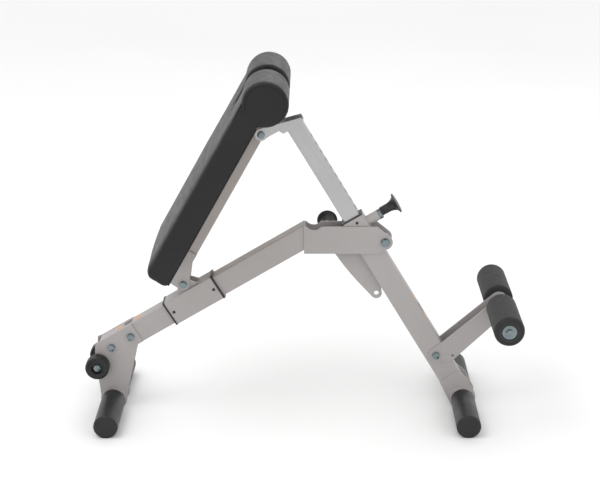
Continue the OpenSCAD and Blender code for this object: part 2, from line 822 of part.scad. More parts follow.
module strut_bracket() {
    color(c_steel) in_beam() difference() {
        union() {
            for (side = [near, far]) plate(bracket_outline, side, bracket_in, bracket_t);
            translate([-bracket_back, -bracket_in, bracket_base_b])
                cube([bracket_back + bracket_front, 2 * bracket_in, bracket_base_t]);
        }
        across(bracket_a, bracket_b, bolt_d, -beam_w, beam_w);
    }
}

module bracket_pivot_bolt() {
    color(c_zinc) in_beam()
        cross_bolt(bracket_a, bracket_b, bolt_d, bolt_hex, bracket_in + bracket_t);
}

// ---------- Carriage ----------

module carriage_sleeve() {
    half = carriage_l / 2;
    color(c_frame) in_beam() difference() {
        tube_along_x(carriage_h, carriage_w, carriage_wall, tube_corner,
                     carriage_a - half, carriage_a + half);
        for (end = [-1, 1])
            across(carriage_a + end * (half - 10), 0, screw_d, -carriage_w, carriage_w);
    }
}

module carriage_bushing(end) {
    half = carriage_l / 2;
    color(c_black) in_beam() translate([carriage_a, 0, 0]) rotate([0, end > 0 ? 0 : 180, 0])
        difference() {
            union() {
                translate([half, 0, 0]) rotate([90, 0, 90]) linear_extrude(liner_flange)
                    polygon(round_rect(carriage_w + 2 * liner_proud, carriage_h + 2 * liner_proud,
                                       tube_corner));
                translate([half - liner_len, 0, 0]) rotate([90, 0, 90]) linear_extrude(liner_len)
                    polygon(round_rect(carriage_in_w, carriage_in_h, 1.5));
            }
            translate([half - liner_len - 1, 0, 0]) rotate([90, 0, 90]) linear_extrude(liner_len + 10)
                polygon(round_rect(beam_w + 2 * slide_fit, beam_h + 2 * slide_fit, tube_corner));
        }
}

module carriage_bushing_upper() { carriage_bushing(1); }
module carriage_bushing_lower() { carriage_bushing(-1); }

module carriage_screws() {
    half = carriage_l / 2;
    color(c_black) in_beam() for (end = [-1, 1]) for (side = [near, far]) on_side(side) {
        across(carriage_a + end * (half - 10), 0, 2 * screw_d, carriage_w / 2, carriage_w / 2 + 1);
        across(carriage_a + end * (half - 10), 0, screw_d, carriage_in_w / 2, carriage_w / 2);
    }
}

module carriage_ears() {
    base = carriage_h / 2;
    outline = concat(
        [[carriage_a - ear_heel, base], [carriage_a + ear_toe, base]],
        arc(carriage_a, carriage_pivot_rise, ear_r, 20, 160, 14));
    color(c_frame) in_beam() difference() {
        for (side = [near, far]) plate(outline, side, ear_out - ear_t, ear_t);
        across(carriage_a, carriage_pivot_rise, bolt_d + 2 * run_fit, -beam_w, beam_w);
    }
}

// ---------- Pad ----------

module pad_pivot_bolt() {
    color(c_zinc) in_pad() cross_bolt(0, 0, bolt_d, bolt_hex, frame_w / 2 + lug_t);
}

module pad_frame() {
    color(c_frame) in_pad() difference() {
        translate([0, 0, frame_t0 + frame_d / 2 - bar_t / 2])
            tube_along_x(frame_d - bar_t, frame_w, strut_wall, 3, frame_s0, frame_s1);
        across(bracket_s, pivot_in, bolt_d + 2 * run_fit, -beam_w, beam_w);
    }
}

lug_outline = concat(
    [[lug_lap, pad_rise - bar_t], [lug_lap, frame_t0], [lug_lap - 27, frame_t0]],
    arc(0, 0, lug_r, -52, -185, 16),
    [for (p = lug_heel) [p[0], pad_rise - bar_t - p[1]]]);

module pad_lug(side) {
    color(c_frame) in_pad() difference() {
        plate(lug_outline, side, frame_w / 2, lug_t);
        across(0, 0, bolt_d, -beam_w, beam_w);
    }
}

module pad_lug_near() { pad_lug(near); }
module pad_lug_far() { pad_lug(far); }

module pad_crossbars() {
    color(c_frame) in_pad() difference() {
        for (s = bar_places)
            translate([s, -bar_len / 2, pad_rise - bar_t]) cube([bar_w, bar_len, bar_t]);
        pad_screw_holes(-1);
    }
}

module pad_screw_holes(grow) {
    for (s = bar_places) for (side = [near, far])
        translate([s + bar_w / 2, side * (bar_len / 2 - 18), pad_rise - bar_t + grow])
            cylinder(d = 6, h = bar_t + 10 - grow);
}

module pad_screws() {
    color(c_zinc) in_pad() {
        pad_screw_holes(0);
        for (s = bar_places) for (side = [near, far])
            translate([s + bar_w / 2, side * (bar_len / 2 - 18), pad_rise - bar_t - 4])
                cylinder(d = 11, h = 4);
    }
}

module pad_slit(margin) {
    translate([slit_s - margin, -slit_w / 2 - margin, -50])
        cube([pad_len, slit_w + 2 * margin, 300]);
}

module board_solid() {
    translate([pad_s0 + board_inset, board_inset - pad_w / 2, pad_rise])
        cube([bolster_s - pad_s0 - board_inset, pad_w - 2 * board_inset, board_t]);
}

module pad_board() {
    color(c_wood) in_pad() difference() {
        board_solid();
        pad_slit(8);
        pad_screw_holes(-1);
    }
}

cushion_outline = concat(
    arc(pad_s0 + pad_nose_r, pad_front - pad_nose_r, pad_nose_r, 180, 90, 8),
    [[bolster_s - 12, pad_front]],
    [[bolster_s, pad_front - 2], [bolster_s, pad_rise + 4], [bolster_s - 40, pad_rise]],
    arc(pad_s0 + 12, pad_rise + 12, 12, 270, 180, 6));

module pad_cushion() {
    half = pad_w / 2;
    edge = 10;
    color(c_vinyl) in_pad() difference() {
        union() {
            plate(cushion_outline, near, -half, pad_w);
            translate([bolster_s, 0, bolster_t]) {
                across(0, 0, 2 * bolster_r, edge - half, half - edge);
                for (side = [near, far]) on_side(side)
                    translate([0, half - edge, 0]) rotate([-90, 0, 0])
                        cylinder(r1 = bolster_r, r2 = bolster_r - edge, h = edge);
            }
        }
        board_solid();
        pad_slit(0);
        pad_screw_holes(0);
    }
}

main_beam();
beam_end_cap();
hub_plate_near();
hub_plate_far();
hub_end_wall();
rear_plate_near();
rear_plate_far();
rear_bracket_bolts();
rear_foot_tube();
rear_sleeve_near();
rear_sleeve_far();
wheel_near();
wheel_far();
wheel_bolts();
leg_pivot_bolt();
fold_pin_housing();
fold_pin();
fold_pin_spring();
fold_pin_knob();
leg_tube();
leg_pivot_lug();
leg_bushing();
leg_bushing_screws();
lock_quadrant();
strut_pin_housing();
strut_pin();
strut_pin_spring();
strut_pin_knob();
front_plate_near();
front_plate_far();
front_foot_tube();
front_sleeve_near();
front_sleeve_far();
roller_arm();
roller_arm_bolt();
roller_axle();
roller_end_bolts();
roller_core_near();
roller_foam_near();
roller_core_far();
roller_foam_far();
strut_tube();
strut_glide();
strut_bracket();
bracket_pivot_bolt();
carriage_sleeve();
carriage_bushing_upper();
carriage_bushing_lower();
carriage_screws();
carriage_ears();
pad_pivot_bolt();
pad_frame();
pad_lug_near();
pad_lug_far();
pad_crossbars();
pad_screws();
pad_board();
pad_cushion();
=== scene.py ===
import json
from math import asin, atan2, ceil, cos, exp, pi, radians, sin, tan, tau

import bpy
import bmesh
from mathutils import Matrix, Vector, noise
from mathutils.bvhtree import BVHTree


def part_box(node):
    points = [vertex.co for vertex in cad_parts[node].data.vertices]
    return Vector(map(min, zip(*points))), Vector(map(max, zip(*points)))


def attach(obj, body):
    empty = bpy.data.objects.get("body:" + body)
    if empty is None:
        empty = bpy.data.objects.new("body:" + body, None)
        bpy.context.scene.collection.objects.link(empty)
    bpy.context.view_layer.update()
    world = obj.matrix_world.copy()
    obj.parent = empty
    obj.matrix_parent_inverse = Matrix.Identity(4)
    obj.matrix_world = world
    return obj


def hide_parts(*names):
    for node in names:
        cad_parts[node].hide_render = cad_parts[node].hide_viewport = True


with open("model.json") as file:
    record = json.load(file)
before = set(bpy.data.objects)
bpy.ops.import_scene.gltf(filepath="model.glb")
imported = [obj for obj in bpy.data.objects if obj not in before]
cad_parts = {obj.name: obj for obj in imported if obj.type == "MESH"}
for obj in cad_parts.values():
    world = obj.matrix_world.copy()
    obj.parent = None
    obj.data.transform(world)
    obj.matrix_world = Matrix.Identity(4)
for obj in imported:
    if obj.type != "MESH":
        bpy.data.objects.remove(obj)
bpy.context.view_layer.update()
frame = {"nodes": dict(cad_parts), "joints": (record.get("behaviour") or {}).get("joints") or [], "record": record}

MM = 0.001
joints = {j["name"]: j for j in frame["joints"]}

# ---------------------------------------------------------------- frames of the object

up_beam = -Vector(joints["carriage_slide"]["axis"]).normalized()
up_strut = -Vector(joints["strut_slide"]["axis"]).normalized()
side = Vector((0, 1, 0))
leg_pivot = Vector(joints["leg_fold"]["pos_m"])
pad_pivot = Vector(joints["pad_tilt"]["pos_m"])
bracket_pivot = Vector(joints["bracket_tilt"]["pos_m"])
roller_axis = Vector(joints["roller_near_spin"]["pos_m"])
wheel_axis = Vector(joints["wheel_near_spin"]["pos_m"])

# How far the bracket pivot stands out of the line along the pad through the pad pivot
BRACKET_RISE = 16 * MM
pad_link = bracket_pivot - pad_pivot
pad_slope = atan2(pad_link.z, pad_link.x) - asin(BRACKET_RISE / pad_link.length)
along_pad = Vector((cos(pad_slope), 0, sin(pad_slope)))
out_of_pad = Vector((-sin(pad_slope), 0, cos(pad_slope)))


def pad_point(s, y, t):
    """World point of a place on the pad, given in mm along it, across it and out of it."""
    return pad_pivot + along_pad * (s * MM) + side * (y * MM) + out_of_pad * (t * MM)


def centre(node):
    low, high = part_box(node)
    return (low + high) / 2


def reach(node, direction):
    """Lowest and highest value of a CAD node's points along a direction."""
    values = [v.co.dot(direction) for v in frame["nodes"][node].data.vertices]
    return min(values), max(values)



# ---------------------------------------------------------------- camera and light

CAMERA_PLACE = (0.0302, -3.5727, 1.7003)
CAMERA_YAW, CAMERA_PITCH, CAMERA_ROLL = -0.38, 19.06, 0.2235  # degrees
CAMERA_LENS = 85.8

# Name, place, point aimed at, diameter and power of each lamp
LAMPS = [
    ("key", (-1.6, -0.8, 3.6), (0, 0, 0.4), 2.4, 30),
    ("fill", (2.6, -2.6, 2.2), (0.1, 0, 0.4), 2.0, 6),
    ("back", (0.6, 3.0, 2.8), (0, 0, 0.4), 2.4, 10),
]


def linked(name, data):
    """New object of the scene that holds the given data."""
    obj = bpy.data.objects.new(name, data)
    bpy.context.scene.collection.objects.link(obj)
    return obj


def make_camera():
    yaw, pitch, roll = radians(CAMERA_YAW), radians(CAMERA_PITCH), radians(CAMERA_ROLL)
    ahead = Vector((sin(yaw) * cos(pitch), cos(yaw) * cos(pitch), -sin(pitch)))
    right = Vector((cos(yaw), -sin(yaw), 0))
    top = right.cross(ahead)
    turn = Matrix.Rotation(roll, 3, "Y")
    ahead, right, top = turn @ ahead, turn @ right, turn @ top
    data = bpy.data.cameras.new("camera")
    data.lens = CAMERA_LENS
    data.sensor_width = 36
    data.clip_end = 200
    cam = linked("camera", data)
    basis = Matrix((right, top, -ahead)).transposed().to_4x4()
    cam.matrix_world = Matrix.Translation(CAMERA_PLACE) @ basis
    bpy.context.scene.camera = cam


def make_light():
    world = bpy.data.worlds.new("studio")
    world.use_nodes = True
    background = world.node_tree.nodes["Background"]
    background.inputs["Color"].default_value = (1.0, 1.0, 1.0, 1)
    background.inputs["Strength"].default_value = 0.99
    bpy.context.scene.world = world
    for name, place, aim, size, power in LAMPS:
        data = bpy.data.lights.new(name, "AREA")
        data.shape = "DISK"
        data.size = size
        data.energy = power
        lamp = linked(name, data)
        lamp.location = place
        lamp.rotation_euler = (Vector(aim) - Vector(place)).to_track_quat("-Z", "Y").to_euler()
    bpy.context.scene.view_settings.view_transform = "Standard"


# ---------------------------------------------------------------- materials


def shade(colour, factor):
    return tuple(min(1.0, c * factor) for c in colour)


class Finish:
    """A Principled material and the few texture nodes that feed it."""

    def __init__(self, name, metallic=0.0, turn=0.0, **constants):
        self.material = bpy.data.materials.new(name)
        self.material.use_nodes = True
        self.tree = self.material.node_tree
        self.shader = self.tree.nodes["Principled BSDF"]
        self.shader.inputs["Metallic"].default_value = metallic
        for socket, value in constants.items():
            self.shader.inputs[socket.replace("_", " ")].default_value = value
        place = self.tree.nodes.new("ShaderNodeTexCoord")
        self.place = self.tree.nodes.new("ShaderNodeMapping")
        self.place.inputs["Rotation"].default_value = (0, turn, 0)
        self.tree.links.new(place.outputs["Object"], self.place.inputs["Vector"])
        self.normal = None

    def link(self, source, target):
        self.tree.links.new(source, target)

    def stretch(self, scale):
        """Coordinates squeezed by a factor on each axis."""
        node = self.tree.nodes.new("ShaderNodeMapping")
        node.inputs["Scale"].default_value = scale
        self.link(self.place.outputs["Vector"], node.inputs["Vector"])
        return node.outputs["Vector"]

    def noise(self, scale, detail=2.0, rough=0.5, vector=None):
        node = self.tree.nodes.new("ShaderNodeTexNoise")
        node.inputs["Scale"].default_value = scale
        node.inputs["Detail"].default_value = detail
        node.inputs["Roughness"].default_value = rough
        self.link(vector or self.place.outputs["Vector"], node.inputs["Vector"])
        return node.outputs["Fac"]

    def cells(self, scale, feature="F1"):
        node = self.tree.nodes.new("ShaderNodeTexVoronoi")
        node.feature = feature
        node.inputs["Scale"].default_value = scale
        self.link(self.place.outputs["Vector"], node.inputs["Vector"])
        return node.outputs["Distance"]

    def ramp(self, value, *stops):
        node = self.tree.nodes.new("ShaderNodeValToRGB")
        ends = node.color_ramp.elements
        while len(ends) < len(stops):
            ends.new(0.5)
        for end, (position, colour) in zip(ends, stops):
            end.position = position
            end.color = (*colour, 1)
        self.link(value, node.inputs["Fac"])
        return node.outputs["Color"]

    def tones(self, value, base, *stops):
        """Ramp between darker and lighter shades of one colour."""
        return self.ramp(value, *((position, shade(base, factor)) for position, factor in stops))

    def greys(self, value, *stops):
        return self.ramp(value, *((position, (grey, grey, grey)) for position, grey in stops))

    def spread(self, value, low, high, start=0.3, end=0.7):
        node = self.tree.nodes.new("ShaderNodeMapRange")
        node.inputs["From Min"].default_value = start
        node.inputs["From Max"].default_value = end
        node.inputs["To Min"].default_value = low
        node.inputs["To Max"].default_value = high
        self.link(value, node.inputs["Value"])
        return node.outputs["Result"]

    def blend(self, kind, factor, first, second):
        node = self.tree.nodes.new("ShaderNodeMix")
        node.data_type = "RGBA"
        node.blend_type = kind
        if isinstance(factor, float):
            node.inputs[0].default_value = factor
        else:
            self.link(factor, node.inputs[0])
        for socket, source in ((node.inputs[6], first), (node.inputs[7], second)):
            if isinstance(source, tuple):
                socket.default_value = (*source, 1)
            else:
                self.link(source, socket)
        return node.outputs[2]

    def colour(self, source):
        self.link(source, self.shader.inputs["Base Color"])
        return self

    def rough(self, source):
        self.link(source, self.shader.inputs["Roughness"])
        return self

    def bump(self, height, depth, strength=1.0):
        node = self.tree.nodes.new("ShaderNodeBump")
        node.inputs["Distance"].default_value = depth
        node.inputs["Strength"].default_value = strength
        self.link(height, node.inputs["Height"])
        if self.normal is not None:
            self.link(self.normal, node.inputs["Normal"])
        self.normal = node.outputs["Normal"]
        self.link(self.normal, self.shader.inputs["Normal"])
        return self

    def soften(self, radius):
        """Light catches the edges as on a slightly rounded corner."""
        node = self.tree.nodes.new("ShaderNodeBevel")
        node.samples = 6
        node.inputs["Radius"].default_value = radius
        self.normal = node.outputs["Normal"]
        self.link(self.normal, self.shader.inputs["Normal"])
        return self

    def times(self, first, second):
        node = self.tree.nodes.new("ShaderNodeMath")
        node.operation = "MULTIPLY"
        self.link(first, node.inputs[0])
        self.link(second, node.inputs[1])
        return node.outputs["Value"]

    def edges(self):
        """Near 1 along rounded edges and 0 on flat faces, from the turn of the softened normal."""
        true = self.tree.nodes.new("ShaderNodeNewGeometry")
        dot = self.tree.nodes.new("ShaderNodeVectorMath")
        dot.operation = "DOT_PRODUCT"
        self.link(true.outputs["Normal"], dot.inputs[0])
        self.link(self.normal, dot.inputs[1])
        return self.spread(dot.outputs["Value"], 1.0, 0.0, 0.80, 0.985)


def powder_coat():
    base = (0.375, 0.355, 0.349)
    f = Finish("frame_paint", Specular_IOR_Level=0.45, Coat_Weight=0.12, Coat_Roughness=0.32)
    f.soften(1.1 * MM)
    tone = f.tones(f.noise(3.2, 3.0), base, (0.3, 0.965), (0.7, 1.03))
    grain = f.greys(f.noise(900, 1.0), (0.32, 0.93), (0.62, 1.03))
    # rounded edges lightened towards 1.75 times the base colour: partly paint worn thin, partly a painted
    # highlight for light caught by the edges
    rubbed_and_highlit_edges = f.times(f.edges(), f.spread(f.noise(70, 3.0), 0.45, 0.95))
    f.colour(f.blend("MIX", rubbed_and_highlit_edges, f.blend("MULTIPLY", 1.0, tone, grain), shade(base, 1.75)))
    f.rough(f.spread(f.noise(14, 4.0, 0.6), 0.42, 0.56))
    return f.bump(f.noise(520, 2.0, 0.55), 0.05 * MM, 0.5).material


def zinc_plate():
    base = (0.215, 0.262, 0.278)
    f = Finish("zinc", metallic=1.0)
    f.soften(0.3 * MM)
    tone = f.tones(f.noise(60, 3.0), base, (0.3, 0.82), (0.7, 1.14))
    spots = f.ramp(f.noise(420, 2.0), (0.30, (0.86, 0.86, 0.84)), (0.55, (1.0, 1.0, 1.0)))
    f.colour(f.blend("MULTIPLY", 1.0, tone, spots))
    f.rough(f.spread(f.noise(150, 3.0), 0.14, 0.28))
    return f.bump(f.noise(700, 2.0), 0.03 * MM, 0.5).material


def satin_steel():
    """Steel with draw lines along the beam."""
    base = (0.47, 0.47, 0.478)
    f = Finish("satin_steel", metallic=1.0, turn=atan2(up_beam.z, up_beam.x))
    f.soften(0.5 * MM)
    lines = f.noise(140, 4.0, 0.65, f.stretch((1, 1, 0.03)))
    fine = f.noise(900, 2.0, 0.6, f.stretch((1, 1, 0.02)))
    tone = f.tones(lines, base, (0.3, 0.93), (0.7, 1.06))
    haze = f.greys(f.noise(9, 3.0), (0.3, 0.96), (0.7, 1.02))
    f.colour(f.blend("MULTIPLY", 1.0, tone, haze))
    f.rough(f.spread(lines, 0.30, 0.44))
    return f.bump(fine, 0.03 * MM, 0.6).material


def black_plastic():
    f = Finish("black_plastic", Specular_IOR_Level=0.5)
    f.soften(0.5 * MM)
    f.colour(f.tones(f.noise(40, 3.0), (0.009, 0.009, 0.0098), (0.3, 0.8), (0.7, 1.35)))
    f.rough(f.spread(f.noise(120, 3.0), 0.30, 0.46))
    return f.bump(f.noise(1500, 2.0), 0.04 * MM, 0.5).material


def moulded_rubber(name, base, low, high, grain):
    f = Finish(name, Specular_IOR_Level=0.4)
    f.soften(0.6 * MM)
    dust = f.noise(22, 4.0, 0.6)
    tone = f.tones(dust, base, (0.3, 0.85), (0.72, 1.3))
    fine = f.greys(f.noise(1100, 1.0), (0.3, 0.9), (0.7, 1.08))
    f.colour(f.blend("MULTIPLY", 1.0, tone, fine))
    f.rough(f.spread(dust, low, high))
    return f.bump(f.noise(grain, 2.0, 0.6), 0.07 * MM, 0.6).material


def foam():
    f = Finish("foam", Specular_IOR_Level=0.22, Sheen_Weight=0.08, Sheen_Roughness=0.6)
    pores = f.cells(620)
    pits = f.tones(pores, (0.026, 0.026, 0.0272), (0.12, 0.45), (0.42, 1.0), (0.9, 1.35))
    drift = f.greys(f.noise(14, 3.0), (0.3, 0.9), (0.7, 1.1))
    f.colour(f.blend("MULTIPLY", 1.0, pits, drift))
    f.rough(f.spread(f.noise(60, 2.0), 0.74, 0.92))
    f.bump(f.noise(230, 3.0, 0.6), 0.25 * MM, 0.5)
    return f.bump(pores, 0.35 * MM, 0.7).material


def vinyl():
    f = Finish("vinyl", Specular_IOR_Level=0.33, Coat_Weight=0.03, Coat_Roughness=0.35)
    grain = f.cells(330, "DISTANCE_TO_EDGE")
    small = f.cells(820, "DISTANCE_TO_EDGE")
    hills = f.spread(grain, 0.0, 1.0, 0.02, 0.30)
    tone = f.tones(grain, (0.0100, 0.0100, 0.0103), (0.02, 0.62), (0.22, 1.08))
    drift = f.greys(f.noise(9, 4.0), (0.3, 0.88), (0.7, 1.14))
    f.colour(f.blend("MULTIPLY", 1.0, tone, drift))
    f.rough(f.spread(f.noise(48, 3.0), 0.36, 0.50))
    f.bump(f.noise(60, 3.0, 0.6), 0.3 * MM, 0.25)
    f.bump(hills, 0.3 * MM, 0.75)
    return f.bump(small, 0.1 * MM, 0.4).material


def stitching(name, low, high):
    f = Finish(name, Specular_IOR_Level=0.12)
    strands = f.noise(2600, 2.0, 0.6)
    f.colour(f.ramp(strands, (0.3, (low, low, low * 1.05)), (0.7, (high, high, high * 1.04))))
    f.rough(f.spread(strands, 0.6, 0.85))
    return f.bump(strands, 0.1 * MM, 0.6).material


def plywood():
    """Board with its veins along the pad."""
    dark, middle, light = (0.33, 0.21, 0.11), (0.47, 0.33, 0.19), (0.56, 0.42, 0.26)
    f = Finish("board", turn=pad_slope)
    veins = f.noise(34, 5.0, 0.6, f.stretch((0.12, 1, 1)))
    fine = f.noise(420, 3.0, 0.6, f.stretch((0.05, 1, 1)))
    tone = f.ramp(veins, (0.28, dark), (0.5, middle), (0.72, light))
    lines = f.ramp(fine, (0.3, (0.82, 0.78, 0.72)), (0.6, (1.0, 1.0, 1.0)))
    f.colour(f.blend("MULTIPLY", 1.0, tone, lines))
    f.rough(f.spread(veins, 0.62, 0.8))
    return f.bump(fine, 0.2 * MM, 0.5).material


def decal(name, base):
    f = Finish(name, Specular_IOR_Level=0.5, Coat_Weight=0.3, Coat_Roughness=0.25)
    f.colour(f.tones(f.noise(30, 3.0), base, (0.3, 0.92), (0.7, 1.06)))
    f.rough(f.spread(f.noise(90, 2.0), 0.34, 0.48))
    return f.bump(f.noise(420, 2.0), 0.03 * MM, 0.4).material


def studio_floor():
    f = Finish("studio_floor", Specular_IOR_Level=0.2)
    f.colour(f.greys(f.noise(0.6, 2.0), (0.3, 0.925), (0.7, 0.95)))
    return f.rough(f.spread(f.noise(2.0, 2.0), 0.7, 0.8)).material


make_camera()
make_light()

FINISH = {
    "frame_paint": powder_coat(),
    "zinc": zinc_plate(),
    "satin_steel": satin_steel(),
    "black_plastic": black_plastic(),
    "foot_rubber": moulded_rubber("foot_rubber", (0.012, 0.012, 0.0128), 0.34, 0.50, 420),
    "wheel_rubber": moulded_rubber("wheel_rubber", (0.010, 0.010, 0.0107), 0.32, 0.46, 700),
    "foam": foam(),
    "vinyl": vinyl(),
    "board": plywood(),
}
THREAD = stitching("thread", 0.018, 0.06)
# seam line colour: near black and darker than the vinyl; the seam is real, its extra darkness is painted shade of
# the crease along it
SEAM_SHADE_LINE = stitching("seam", 0.0025, 0.006)
ORANGE = decal("decal_orange", (0.62, 0.27, 0.09))
BLACK = decal("decal_black", (0.03, 0.03, 0.032))


def paint_nodes():
    """Every CAD node takes the finish of its slot in the record."""
    for part in frame["record"]["subparts"]:
        mesh = frame["nodes"][part["node"]].data
        mesh.materials.clear()
        mesh.materials.append(FINISH[part["material_slot"]])


# ---------------------------------------------------------------- mesh building

THREAD_PITCH = 1.5 * MM
BEAD_SIDES = 10


def outward(mesh, weld=None):
    """Turns every face outward, after points closer than weld have been merged."""
    work = bmesh.new()
    work.from_mesh(mesh)
    if weld:
        bmesh.ops.remove_doubles(work, verts=work.verts, dist=weld)
    bmesh.ops.recalc_face_normals(work, faces=work.faces)
    work.to_mesh(mesh)
    work.free()


def rounding(height, radius, r, start, steps):
    """Quarter turn of a rounded rim, as (height, radius) pairs about its centre."""
    turns = [start + pi / 2 * i / steps for i in range(steps + 1)]
    return [(height + r * sin(turn), radius + r * cos(turn)) for turn in turns]


class Shape:
    """Collects closed shells and turns them into one object that rides on a body."""

    def __init__(self):
        self.verts = []
        self.faces = []

    def rings(self, rings, loop=False):
        """Skins rings of equal length; the ends are capped, or joined when looped."""
        count = len(rings[0])
        base = len(self.verts)
        for ring in rings:
            self.verts.extend(ring)
        total = len(rings)
        for i in range(total if loop else total - 1):
            a, b = base + i * count, base + (i + 1) % total * count
            for j in range(count):
                k = (j + 1) % count
                self.faces.append((a + j, a + k, b + k, b + j))
        if not loop:
            self.faces.append(tuple(base + j for j in reversed(range(count))))
            self.faces.append(tuple(base + (total - 1) * count + j for j in range(count)))
        return self

    def lathe(self, profile, origin, axis, count=64, loop=False, radius_at=None):
        """Revolves (height, radius) pairs about an axis; radius_at may change both on the way."""
        axis = Vector(axis).normalized()
        across = axis.orthogonal().normalized() if abs(axis.y) < 0.9 else Vector((0, 0, 1))
        other = axis.cross(across)
        rings = []
        for height, radius in profile:
            ring = []
            for j in range(count):
                turn = tau * j / count
                r, h = (radius, height) if radius_at is None else radius_at(height, radius, turn)
                spoke = across * cos(turn) + other * sin(turn)
                ring.append(Vector(origin) + axis * h + spoke * max(r, 0.01 * MM))
            rings.append(ring)
        return self.rings(rings, loop=loop)

    def hexagon(self, origin, axis, flats, start, end):
        """Hexagonal head or nut from start to end along the axis, with a turned chamfer at its end.

        A radius below 0 stands for the hexagon, and a height below 0 for its end. A nut whose
        own start is below 0 is therefore lofted straight from its round face to its end.
        """
        inner = flats / 2
        chamfer = tan(radians(30))

        def cut(height, radius, turn):
            if radius > 0:
                return radius, height
            corner = inner / cos((turn + pi / 6) % (pi / 3) - pi / 6)
            drop = (corner - inner * 0.97) * chamfer
            return (corner, end - drop) if height < 0 else (corner, start)

        face = inner * 0.95
        profile = [(start, face), (start + 0.2 * MM, -1), (-1, -1), (end, face)]
        return self.lathe(profile, origin, axis, 48, radius_at=cut)

    def washer(self, origin, axis, radius, start, end):
        edge = min(0.35 * MM, (end - start) / 3)
        profile = [
            (start, radius - edge), (start + edge, radius),
            (end - edge, radius), (end, radius - edge),
        ]
        return self.lathe(profile, origin, axis)

    def thread(self, origin, axis, radius, start, end):
        """Threaded bolt end with a chamfered tip; the ridges are rings, not a helix."""
        ridged = end - start - 1 * MM
        turns = max(1, round(ridged / THREAD_PITCH))
        step = ridged / turns
        profile = [(start, radius)]
        for i in range(turns):
            h = start + ridged * i / turns
            profile += [(h + 0.15 * step, radius), (h + 0.5 * step, radius * 0.9),
                        (h + 0.85 * step, radius)]
        profile += [(end - 0.8 * MM, radius), (end, radius - 0.8 * MM)]
        return self.lathe(profile, origin, axis, 40)

    def bead(self, points, radius=2.0 * MM, period=2.6 * MM, closed=False, flat=0.8, ripple=0.2):
        """Weld bead along a line, in overlapping ripples; flat squashes its section."""
        line = points + (points[:1] if closed else [])
        lengths = [0.0]
        for a, b in zip(line, line[1:]):
            lengths.append(lengths[-1] + (b - a).length)
        total = lengths[-1]
        steps = max(8, ceil(total / (period / 4)))
        spine = []
        part = 0
        for i in range(steps + (0 if closed else 1)):
            want = total * i / steps
            while part < len(line) - 2 and lengths[part + 1] < want:
                part += 1
            span = lengths[part + 1] - lengths[part]
            share = (want - lengths[part]) / span if span else 0
            spine.append(line[part].lerp(line[part + 1], share))
        rings = []
        for i, p in enumerate(spine):
            before = spine[i - 1] if (i or closed) else p
            after = spine[(i + 1) % len(spine)] if (i < len(spine) - 1 or closed) else p
            ahead = (after - before).normalized()
            across = ahead.cross(side)
            across = across.normalized() if across.length > 0.2 else ahead.orthogonal().normalized()
            other = ahead.cross(across)
            phase = (total * i / steps) / period % 1
            uneven = 0.6 * noise.noise(p * 240)
            r = radius * (1 + ripple * (sin(pi * phase) - 0.7 + uneven))
            if not closed:
                r *= min(1.0, 0.45 + 0.55 * min(i, steps - i) / 4)
            turns = [tau * j / BEAD_SIDES for j in range(BEAD_SIDES)]
            rings.append([p + across * (r * cos(q)) + other * (r * flat * sin(q)) for q in turns])
        return self.rings(rings, loop=closed)

    def make(self, name, body, slot, material=None, angle=32, replaces=()):
        """The object itself; edges sharper than the angle (degrees) stay sharp."""
        mesh = bpy.data.meshes.new(name)
        mesh.from_pydata(self.verts, [], self.faces)
        mesh.validate()
        outward(mesh, weld=0.002 * MM)
        for polygon in mesh.polygons:
            polygon.use_smooth = True
        mesh.set_sharp_from_angle(angle=radians(angle))
        mesh.materials.append(material or FINISH[slot])
        obj = linked(name, mesh)
        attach(obj, body)
        if replaces:
            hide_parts(*replaces)
        return obj


# ---------------------------------------------------------------- bolts

WASHER = 2.0 * MM
HEAD = 6.4 * MM
NUT = 8.0 * MM
M10 = (10 * MM, 17 * MM)  # thread diameter, width across flats
M12 = (12 * MM, 19 * MM)


def bolt_through(name, node, body, place, size, replaces=True):
    """Bolt along Y: head on the near side, locking nut on the far side, each on a washer."""
    diameter, flats = size
    place = Vector((place.x, 0, place.z))
    face = -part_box(node)[0].y - WASHER - HEAD
    seat = face + WASHER
    shape = Shape()
    shape.lathe([(-face, diameter / 2), (seat, diameter / 2)], place, side, 40)
    shape.washer(place, side, diameter, -seat, -face)
    shape.hexagon(place, -side, flats, seat, seat + HEAD)
    shape.washer(place, side, diameter, face, seat)
    shape.hexagon(place, side, flats, seat, seat + NUT * 0.78)
    collar = [
        (seat + NUT * 0.7, flats * 0.46), (seat + NUT * 0.94, flats * 0.46),
        (seat + NUT, flats * 0.40), (seat + NUT, diameter * 0.5),
    ]
    shape.lathe(collar, place, side, 48)
    shape.thread(place, side, diameter / 2, seat + NUT * 0.8, seat + NUT + 3 * MM)
    return shape.make(name, body, "zinc", replaces=(node,) if replaces else ())


def make_bolts():
    middle = centre("rear_bracket_bolts")
    low, high = reach("rear_bracket_bolts", up_beam)
    half = up_beam * ((high - low) / 2 - 10 * MM)
    bolt_through("bolt_leg_pivot", "leg_pivot_bolt", "frame", leg_pivot, M12)
    bolt_through("bolt_pad_pivot", "pad_pivot_bolt", "pad", pad_pivot, M10)
    bolt_through("bolt_bracket_pivot", "bracket_pivot_bolt", "bracket", bracket_pivot, M10)
    bolt_through("bolt_roller_arm", "roller_arm_bolt", "leg", centre("roller_arm_bolt"), M10)
    # one CAD node holds both bracket bolts, so only the first of the pair replaces it
    bolt_through("bolt_rear_bracket_low", "rear_bracket_bolts", "frame", middle - half, M10)
    bolt_through("bolt_rear_bracket_high", "rear_bracket_bolts", "frame", middle + half, M10,
                 replaces=False)


